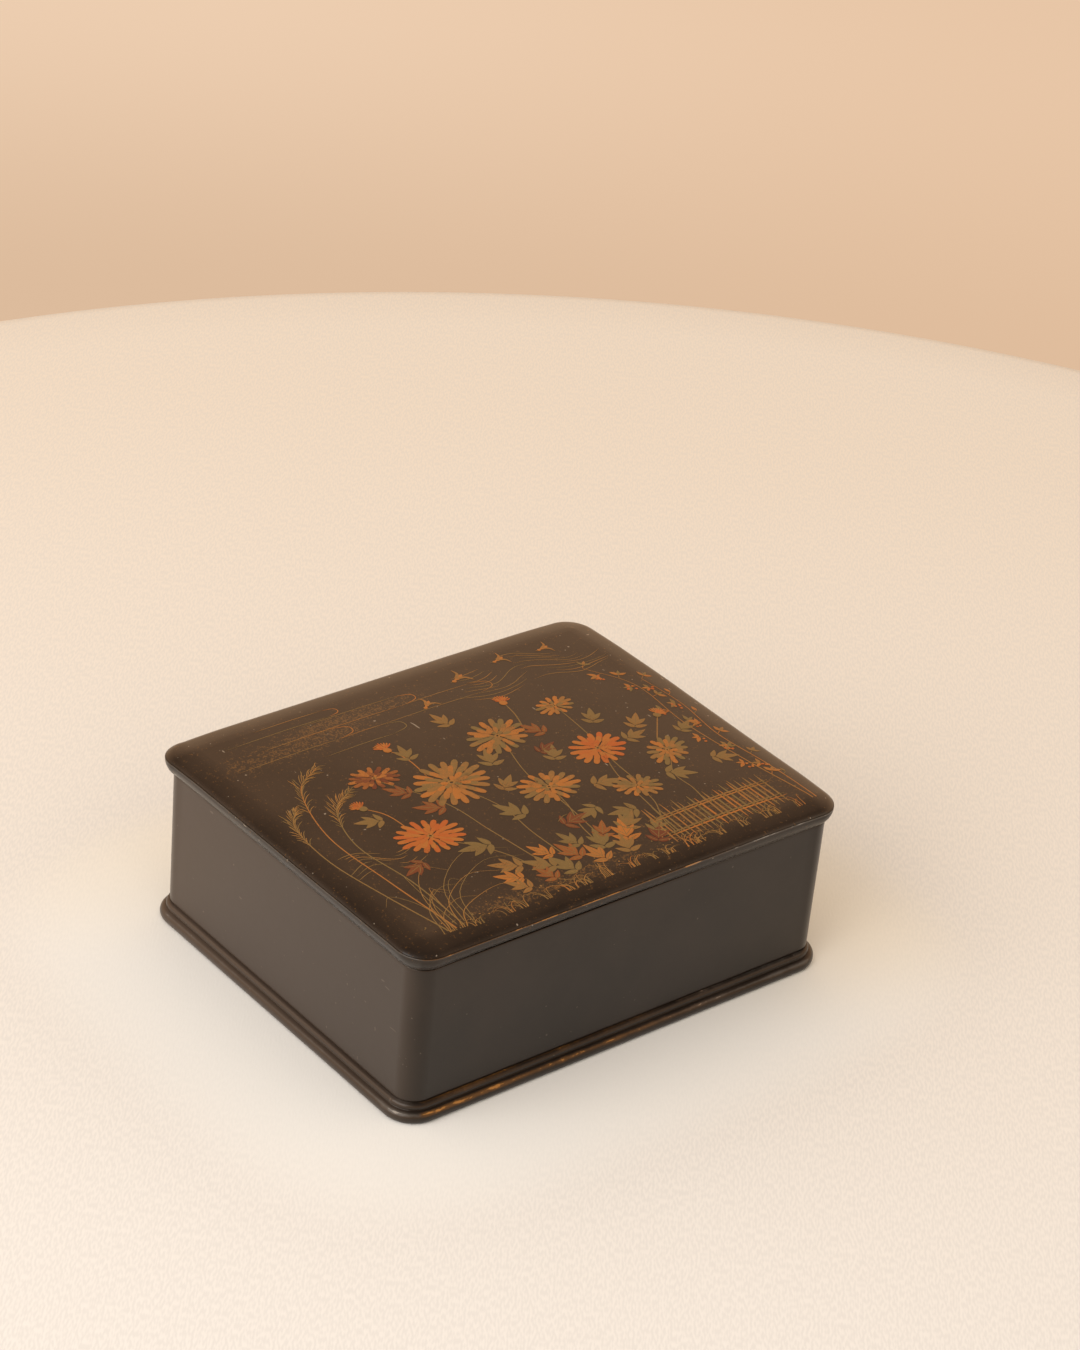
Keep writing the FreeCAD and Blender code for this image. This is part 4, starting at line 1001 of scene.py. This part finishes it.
class WRITINGBOX_OT_lid_gold(bpy.types.Operator):
    """Lays flowers, grasses, a stream and birds in raised gold on the lid"""

    bl_idname = "writing_box.lid_gold"
    bl_label = "Decorate the Lid"

    def execute(self, context):
        gold = context.scene.writing_box_gold
        ground = context.scene.writing_box_lacquer.lid_colour
        draw = random.Random(SEED)
        works = {}
        for word, shift in SHIFTS.items():
            finish = gold_lacquer(word + "_gold", getattr(gold, word), getattr(gold, shift), ground)
            works[word] = Relief(word + "_gold_work", finish, draw)
        orange, bright, olive, russet, fine = works.values()
        for bar in MISTS:
            mist(olive, *bar)
        stream(fine, FAR_STREAM, 4, 2.4)
        stream(fine, NEAR_STREAM, 3, 2.2)
        fence(orange, olive, fine, 30, 94, -82, -58)
        for _, x, y, radius, _, _, _, (left, low) in BLOSSOMS:
            bow = (x - left) * 0.3
            sway = draw.uniform(-3.0, 3.0)
            stem = [(left, low), (left + bow * 0.6, low + (y - low) * 0.3)]
            stem += [(left + bow * 1.5 + sway, low + (y - low) * 0.62), (x, y - radius * 0.2)]
            olive.stroke(stem, 0.85, 0.2, 10, 0.2, lambda t: 0.85 - 0.2 * t)
        for number, (x, y, angle, length) in enumerate(LEAVES):
            work = olive if number % 4 else russet
            lobed_leaf(work, fine, x, y, angle, length * 1.35, draw.uniform(0.0, 0.4))
        for number in range(17):
            work = (olive, orange, olive, russet)[number % 4]
            x = -46.0 + number * 4.6 + draw.uniform(-2.0, 2.0)
            y = -77.0 + 7.0 * (number % 3)
            aim = 150.0 - number * 7.0 + draw.uniform(-20.0, 20.0)
            lobed_leaf(work, fine, x, y, aim, draw.uniform(11.0, 15.0), draw.uniform(0.0, 0.5))
        for kind, *flower, _ in BLOSSOMS:
            blossom(works[kind], fine, *flower)
        for x, y, radius, turn in BUDS:
            left, low = toward(x, y, turn + 180, 22.0)
            olive.stroke([(left, low - 6), toward(x, y, turn + 190, 12.0), (x, y)], 0.7, 0.2, 8)
            blossom(bright, fine, x, y, radius, 0.9, turn, 9, -65.0, 65.0)
            olive.disc(*toward(x, y, turn + 180, 0.8), 2.0, 1.0)
        for reed in REEDS:
            plume_grass(olive, fine, reed)
        for _ in range(13):
            x, height = -88 + draw.uniform(-9, 10), draw.uniform(16, 54)
            blade_of_grass(fine, x, -85, height, draw.uniform(-14, 30), 0.55)
        for kind, knots in CLOVERS:
            clover_branch(olive, works[kind], bright, knots)
        for number in range(17):
            x = -74 + number * 10.6 + draw.uniform(-4, 4)
            tuft((fine, orange, fine)[number % 3], x, -86.5, draw.uniform(5, 11))
        for bird in PLOVERS:
            plover(orange, fine, *bird)
        for _ in range(60):
            x, y = draw.uniform(-100, 104), draw.uniform(-86, -70)
            fine.disc(x, y, draw.uniform(0.25, 0.55), 0.4, None, 6)
        fine.stroke(SCRATCH, 0.4, 0.9, 4, 1.0)
        for relief in works.values():
            relief.finish_object()
        return {"FINISHED"}


# Inside fittings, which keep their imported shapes.

def dress(nodes, material):
    """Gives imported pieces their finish."""
    for node in nodes:
        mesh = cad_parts[node].data
        mesh.materials.clear()
        mesh.materials.append(material)


class WRITINGBOX_OT_inside(bpy.types.Operator):
    """Lacquers the inside of the box and the tray"""

    bl_idname = "writing_box.inside"
    bl_label = "Lacquer the Inside"

    def execute(self, context):
        look = context.scene.writing_box_lacquer
        gold = context.scene.writing_box_gold
        recipe = Recipe("inner_lacquer", IOR=1.53)
        mottle = recipe.grain(0.03, 4.0)
        colour = recipe.blend(mottle, look.inner_colour, times(2.2, look.inner_colour))
        flakes = recipe.flakes(0.0011, 0.07) * recipe.grain(0.02, 3.0).step(0.38, 0.62)
        colour = recipe.blend(flakes * 0.85, colour, gold.fine)
        recipe.feed(Base_Color=colour, Metallic=flakes * 0.6)
        recipe.feed(Roughness=0.26 + mottle * 0.12 + flakes * 0.1)
        recipe.bump(recipe.grain(0.004, 2.0), 0.00003, 0.5)
        nodes = group("lip") + group("tray_ledge") + group("tray_side") + ["floor_board"]
        nodes += ["tray_floor", "tray_divider", "inkstone_bed"]
        nodes += ["brush_rest_front", "brush_rest_back"]
        dress(nodes, recipe.material)
        return {"FINISHED"}


class WRITINGBOX_OT_inkstone(bpy.types.Operator):
    """Finishes the inkstone in ground slate with dried ink in its well"""

    bl_idname = "writing_box.inkstone"
    bl_label = "Finish the Inkstone"

    def execute(self, context):
        low, high = span("inkstone")
        recipe = Recipe("slate", IOR=1.5)
        cloudy = recipe.grain(0.016, 5.0, (1.0, 0.5, 1.0), 0.6)
        speck = recipe.grain(0.0009, 2.0)
        colour = recipe.blend(cloudy, (0.030, 0.031, 0.035), (0.070, 0.068, 0.066))
        colour = recipe.blend(speck.step(0.62, 0.72) * 0.5, colour, (0.12, 0.115, 0.11))
        height = recipe.axis("Z") / MM
        inked = (recipe.axis("Y") / MM + (recipe.grain(0.01, 3.0) - 0.5) * 18.0).step(-8.0, 8.0)
        inked = inked * height.step(high[2] - 1.2, high[2] - 2.6)
        inked = inked * height.step(low[2] + 3.0, low[2] + 5.0)
        colour = recipe.blend(inked * 0.9, colour, (0.006, 0.006, 0.007))
        recipe.feed(Base_Color=colour, Roughness=0.56 + (cloudy - 0.5) * 0.2 - inked * 0.25)
        recipe.bump(speck * 0.6 + cloudy * 0.4, 0.00008, 0.7)
        dress(["inkstone"], recipe.material)
        return {"FINISHED"}


class WRITINGBOX_OT_dropper(bpy.types.Operator):
    """Finishes the water dropper in patinated copper"""

    bl_idname = "writing_box.dropper"
    bl_label = "Finish the Water Dropper"

    def execute(self, context):
        recipe = Recipe("patinated_copper", Metallic=0.9)
        patches = recipe.grain(0.010, 5.0, rough=0.65)
        fine = recipe.grain(0.0008, 3.0)
        colour = recipe.blend(patches.step(0.35, 0.7), (0.19, 0.085, 0.045), (0.34, 0.17, 0.085))
        colour = recipe.blend(patches.step(0.70, 0.82) * 0.5, colour, (0.10, 0.16, 0.11))
        recipe.feed(Base_Color=colour, Roughness=0.34 + (patches - 0.5) * 0.3 + fine * 0.06)
        recipe.bump(fine, 0.00004, 0.5)
        dress(["dropper_body", "dropper_top"], recipe.material)
        return {"FINISHED"}


class WRITINGBOX_OT_brushes(bpy.types.Operator):
    """Finishes both brushes in bamboo, horn and hair"""

    bl_idname = "writing_box.brushes"
    bl_label = "Finish the Brushes"

    def execute(self, context):
        bamboo = Recipe("bamboo", Coat_Weight=0.25, Coat_Roughness=0.3)
        fibres = bamboo.grain(0.0007, 3.0, (1.0, 0.03, 1.0))
        bands = bamboo.grain(0.03, 3.0)
        colour = bamboo.blend(fibres.step(0.3, 0.7), (0.47, 0.29, 0.12), (0.66, 0.47, 0.24))
        colour = bamboo.blend(bands.step(0.55, 0.8) * 0.6, colour, (0.33, 0.17, 0.06))
        bamboo.feed(Base_Color=colour, Roughness=0.36 + fibres * 0.12)
        bamboo.bump(fibres, 0.00005, 0.6)
        horn = Recipe("horn", Coat_Weight=0.4, Coat_Roughness=0.15)
        streaks = horn.grain(0.002, 4.0, (1.0, 0.2, 1.0))
        colour = horn.blend(streaks, (0.016, 0.011, 0.008), (0.10, 0.055, 0.028))
        horn.feed(Base_Color=colour, Roughness=0.25 + streaks * 0.15)
        horn.bump(streaks, 0.00002, 0.4)
        for stem in ("large_brush", "small_brush"):
            low, high = span(stem + "_hair")
            hair = Recipe(stem + "_hair_finish", IOR=1.45)
            strands = hair.grain(0.0005, 2.0, (1.0, 0.02, 1.0))
            along = (hair.axis("Y") / MM - low[1]) / (high[1] - low[1])
            colour = hair.blend(strands, (0.30, 0.19, 0.10), (0.52, 0.37, 0.22))
            tip = (along + (strands - 0.5) * 0.2).step(0.45, 0.85)
            colour = hair.blend(tip, colour, (0.045, 0.028, 0.020))
            hair.feed(Base_Color=colour, Roughness=0.55 + strands * 0.2)
            hair.bump(strands, 0.00025, 0.9)
            dress([stem + "_shaft"], bamboo.material)
            dress([stem + "_collar"], horn.material)
            dress([stem + "_hair"], hair.material)
        return {"FINISHED"}


class WRITINGBOX_OT_knife(bpy.types.Operator):
    """Finishes the paper knife in dark wood and ground steel"""

    bl_idname = "writing_box.knife"
    bl_label = "Finish the Paper Knife"

    def execute(self, context):
        wood = Recipe("handle_wood", Coat_Weight=0.15, Coat_Roughness=0.4)
        rings = wood.grain(0.0022, 4.0, (1.0, 0.06, 1.0), 0.6)
        pores = wood.grain(0.0004, 2.0, (1.0, 0.05, 1.0))
        colour = wood.blend(rings.step(0.3, 0.7), (0.065, 0.024, 0.012), (0.20, 0.085, 0.038))
        colour = wood.blend(pores.step(0.62, 0.74) * 0.7, colour, (0.02, 0.009, 0.005))
        wood.feed(Base_Color=colour, Roughness=0.42 + pores * 0.2)
        wood.bump(pores * 0.6 + rings * 0.4, 0.00008, 0.7)
        steel = Recipe("steel", Metallic=1.0)
        lines = steel.grain(0.0003, 3.0, (0.05, 1.0, 1.0))
        spots = steel.grain(0.004, 4.0)
        colour = steel.blend(spots.step(0.60, 0.8) * 0.6, (0.44, 0.43, 0.42), (0.20, 0.15, 0.12))
        steel.feed(Base_Color=colour, Roughness=0.24 + lines * 0.2 + spots.step(0.6, 0.8) * 0.2)
        steel.bump(lines, 0.00002, 0.4)
        dress(["knife_handle"], wood.material)
        dress(["knife_blade"], steel.material)
        return {"FINISHED"}


class WRITINGBOX_OT_ink_stick(bpy.types.Operator):
    """Finishes the ink stick in dull moulded ink"""

    bl_idname = "writing_box.ink_stick"
    bl_label = "Finish the Ink Stick"

    def execute(self, context):
        recipe = Recipe("ink", IOR=1.5)
        bloom = recipe.grain(0.006, 5.0, rough=0.65)
        fine = recipe.grain(0.0006, 2.0)
        colour = recipe.blend(bloom, (0.008, 0.008, 0.010), (0.030, 0.028, 0.030))
        recipe.feed(Base_Color=colour, Roughness=0.40 + bloom * 0.25)
        recipe.bump(fine * 0.5 + bloom * 0.5, 0.00008, 0.6)
        dress(["ink_stick"], recipe.material)
        return {"FINISHED"}


# Stage.

CAMERA_PLACE = (-0.90562, -1.06410, 0.95571)
CAMERA_YAW, CAMERA_PITCH, CAMERA_ROLL = -0.713759, 0.531293, 0.095103
CAMERA_LENS, CAMERA_FILM = 102.616, 36.0
TABLE_CENTRE = (0.015, -0.097)
TABLE_SIDES, TABLE_EDGE, TABLE_SKIRT = 192, 22.0, 320.0
SKIRT_FOLDS, FOLD_DEPTH = 14, 14.0
THREAD, SLUB, WEAVE_TURN = 0.0009, 0.0016, 0.714
WINDOW_PLACE, WINDOW_AIM = (-1.75, -0.1, 1.25), (0.0, 0.0, 0.04)
WINDOW_SIZE, WINDOW_WATTS = (2.1, 1.8), 27.0


class WRITINGBOX_OT_stage(bpy.types.Operator):
    """Sets the round table, the soft light and the camera"""

    bl_idname = "writing_box.stage"
    bl_label = "Set the Stage"

    def execute(self, context):
        stage = context.scene.writing_box_stage
        self.table(stage)
        self.room(context)
        self.lamps(context)
        self.camera(context)
        return {"FINISHED"}

    def table(self, stage):
        cloth = Recipe("tablecloth", Roughness=0.85, IOR=1.3)
        turn = {"Vector": cloth.place(), "Angle": WEAVE_TURN}
        spun = cloth.put("ShaderNodeVectorRotate", {"rotation_type": "Z_AXIS"}, turn)
        weave = cloth.grain(THREAD, 0.0, spot=cloth.scale(spun, (1.0, 0.27, 1.0)))
        slub = cloth.grain(SLUB, 1.0)
        drift = cloth.grain(0.35, 2.0)
        # Painted light: the cloth warms towards the back, standing for the warm light off the peach
        # wall.
        back = cloth.axis("X") * 0.65 + cloth.axis("Y") * 0.76 + (drift - 0.5) * 0.15
        colour = cloth.blend((back + 0.35) / 0.85, stage.cloth, stage.warm_lit_far_cloth)
        # Painted shade: the weave's hollows are darkened.
        weave_shade = (weave * 0.88 + slub * 0.12).step(0.68, 0.32)
        colour = cloth.blend(weave_shade * 0.28, colour, times(0.72, stage.cloth))
        # Painted light: the cloth is made paler close to the box, lightening its contact shadow, a
        # little bluer in front and warmer behind.
        beside = (cloth.axis("X") / 0.125) ** 4 + (cloth.axis("Y") / 0.104) ** 4
        red, green, blue = stage.cloth
        front = (red * 1.05, green * 1.055, blue * 1.04)
        rear = (red * 1.10, green * 1.03, blue * 0.89)
        painted_fill_colour = cloth.blend(back.step(-0.04, 0.06), front, rear)
        colour = cloth.blend(beside.step(7.0, 0.8) * 0.9, colour, painted_fill_colour)
        cloth.feed(Base_Color=colour)
        cloth.bump(weave, 0.00010, 0.35)
        radius = stage.table_radius / MM
        profile = [(radius * share, 0.0) for share in (0.02, 0.2, 0.4, 0.6, 0.8, 0.92)]
        for angle in (0.0, 0.4, 0.8, 1.2, 1.57):
            reach = radius - TABLE_EDGE * (1.0 - math.sin(angle))
            profile.append((reach, TABLE_EDGE * (math.cos(angle) - 1.0)))
        profile += [(radius, -80.0), (radius, -180.0), (radius, -TABLE_SKIRT)]
        centre_x, centre_y = (part / MM for part in TABLE_CENTRE)
        points, rings = [], []
        for reach, height in profile:
            ring = []
            for side in range(TABLE_SIDES):
                angle = 360.0 * side / TABLE_SIDES
                swing = FOLD_DEPTH * math.sin(math.radians(SKIRT_FOLDS * angle))
                fold = 0.0 if height > -30.0 else -height / TABLE_SKIRT * swing
                ring.append(len(points))
                points.append((*toward(centre_x, centre_y, angle, reach + fold), height))
            rings.append(ring)
        faces = [face[::-1] for face in ring_faces(rings)]
        faces.append(rings[0])
        table = build("table", points, faces, cloth.material)

    def room(self, context):
        """A peach wall to be seen and mirrored, darker overhead, and a sky that lights the rest."""
        world = bpy.data.worlds.new("room")
        context.scene.world = world
        world.use_nodes = True
        recipe = Nodes(world.node_tree)
        heading = recipe.put("ShaderNodeTexCoord", {}, {}, "Generated")
        across, depth, height = (
            recipe.put("ShaderNodeSeparateXYZ", {}, {0: heading}, part) for part in range(3)
        )
        seen = recipe.blend(height.step(-0.43, -0.35), (0.720, 0.500, 0.335), (0.845, 0.615, 0.435))
        sill = height.step(0.30, 0.42)
        window = (across * -1.0).step(0.42, 0.55) * sill * (1.0 - height.step(0.62, 0.76))
        doorway = across.step(0.555, 0.61) * (depth * -1.0).step(0.15, 0.4) * sill
        for share, colour in (
            (across.step(0.52, 0.72) * 0.5, (0.76, 0.51, 0.33)),
            (height.step(-0.3, 0.1), (1.08, 0.68, 0.40)),
            (height.step(0.15, 0.55), (1.17, 0.665, 0.372)),
            (height.step(0.34, 0.91), (0.12, 0.09, 0.08)),
            (window, (1.5, 1.25, 1.0)),
            (doorway * (1.0 - height.step(0.62, 0.8)), (1.5, 1.2, 0.9)),
        ):
            seen = recipe.blend(share, seen, colour)
        direct, gloss, clear = (
            recipe.put("ShaderNodeLightPath", {}, {}, "Is " + path + " Ray")
            for path in ("Camera", "Glossy", "Transmission")
        )
        bright = {0: heading, 1: (-0.80, -0.55, 0.25)}
        facing = recipe.put("ShaderNodeVectorMath", {"operation": "DOT_PRODUCT"}, bright, 1)
        sky = recipe.blend(facing.step(-0.9, 0.9), (0.80, 0.575, 0.375), (1.24, 1.215, 1.165))
        colour = recipe.blend(direct.most(gloss).most(clear), sky, seen)
        shade = recipe.put("ShaderNodeBackground", {}, {"Color": colour, "Strength": 1.0})
        output = recipe.tree.nodes.new("ShaderNodeOutputWorld")
        recipe.tree.links.new(shade.socket, output.inputs["Surface"])

    def lamps(self, context):
        data = bpy.data.lights.new("window", "AREA")
        data.shape = "RECTANGLE"
        data.size, data.size_y = WINDOW_SIZE
        data.energy = WINDOW_WATTS
        lamp = bpy.data.objects.new("window", data)
        lamp.location = WINDOW_PLACE
        way = Vector(WINDOW_AIM) - Vector(WINDOW_PLACE)
        lamp.rotation_euler = way.to_track_quat("-Z", "Y").to_euler()
        context.scene.collection.objects.link(lamp)

    def camera(self, context):
        data = bpy.data.cameras.new("camera")
        data.lens = CAMERA_LENS
        data.sensor_width = CAMERA_FILM
        view = Vector((
            -math.sin(CAMERA_YAW) * math.cos(CAMERA_PITCH),
            math.cos(CAMERA_YAW) * math.cos(CAMERA_PITCH),
            -math.sin(CAMERA_PITCH),
        ))
        level = Vector((math.cos(CAMERA_YAW), math.sin(CAMERA_YAW), 0.0))
        upright = level.cross(view)
        right = level * math.cos(CAMERA_ROLL) + upright * math.sin(CAMERA_ROLL)
        up = upright * math.cos(CAMERA_ROLL) - level * math.sin(CAMERA_ROLL)
        camera = bpy.data.objects.new("camera", data)
        turn = Matrix((right, up, -view)).transposed()
        camera.matrix_world = Matrix.Translation(CAMERA_PLACE) @ turn.to_4x4()
        context.scene.collection.objects.link(camera)
        context.scene.camera = camera
        context.scene.view_settings.view_transform = "Standard"


class WRITINGBOX_PT_panel(bpy.types.Panel):
    """Lists the steps of the finish, in the order in which they run"""

    bl_idname = "WRITINGBOX_PT_panel"
    bl_label = "Writing Box"
    bl_space_type = "VIEW_3D"
    bl_region_type = "UI"
    bl_category = "Writing Box"

    def draw(self, context):
        for settings in ("writing_box_lacquer", "writing_box_gold", "writing_box_stage"):
            column = self.layout.column(align=True)
            for word in getattr(context.scene, settings).bl_rna.properties.keys():
                if word not in ("rna_type", "name"):
                    column.prop(getattr(context.scene, settings), word)
        for operator in OPERATORS:
            self.layout.operator(operator.bl_idname)


OPERATORS = (
    WRITINGBOX_OT_body,
    WRITINGBOX_OT_lid,
    WRITINGBOX_OT_lid_gold,
    WRITINGBOX_OT_inside,
    WRITINGBOX_OT_inkstone,
    WRITINGBOX_OT_dropper,
    WRITINGBOX_OT_brushes,
    WRITINGBOX_OT_knife,
    WRITINGBOX_OT_ink_stick,
    WRITINGBOX_OT_stage,
)
SETTINGS = {
    "writing_box_lacquer": LacquerSettings,
    "writing_box_gold": GoldSettings,
    "writing_box_stage": StageSettings,
}


def register():
    for word, settings in SETTINGS.items():
        bpy.utils.register_class(settings)
        setattr(bpy.types.Scene, word, bpy.props.PointerProperty(type=settings))
    for operator in OPERATORS:
        bpy.utils.register_class(operator)
    bpy.utils.register_class(WRITINGBOX_PT_panel)


def unregister():
    bpy.utils.unregister_class(WRITINGBOX_PT_panel)
    for operator in reversed(OPERATORS):
        bpy.utils.unregister_class(operator)
    for word, settings in SETTINGS.items():
        delattr(bpy.types.Scene, word)
        bpy.utils.unregister_class(settings)


def main():
    register()
    for operator in OPERATORS:
        getattr(bpy.ops.writing_box, operator.bl_idname.split(".")[1])()


if __name__ == "__main__":
    main()
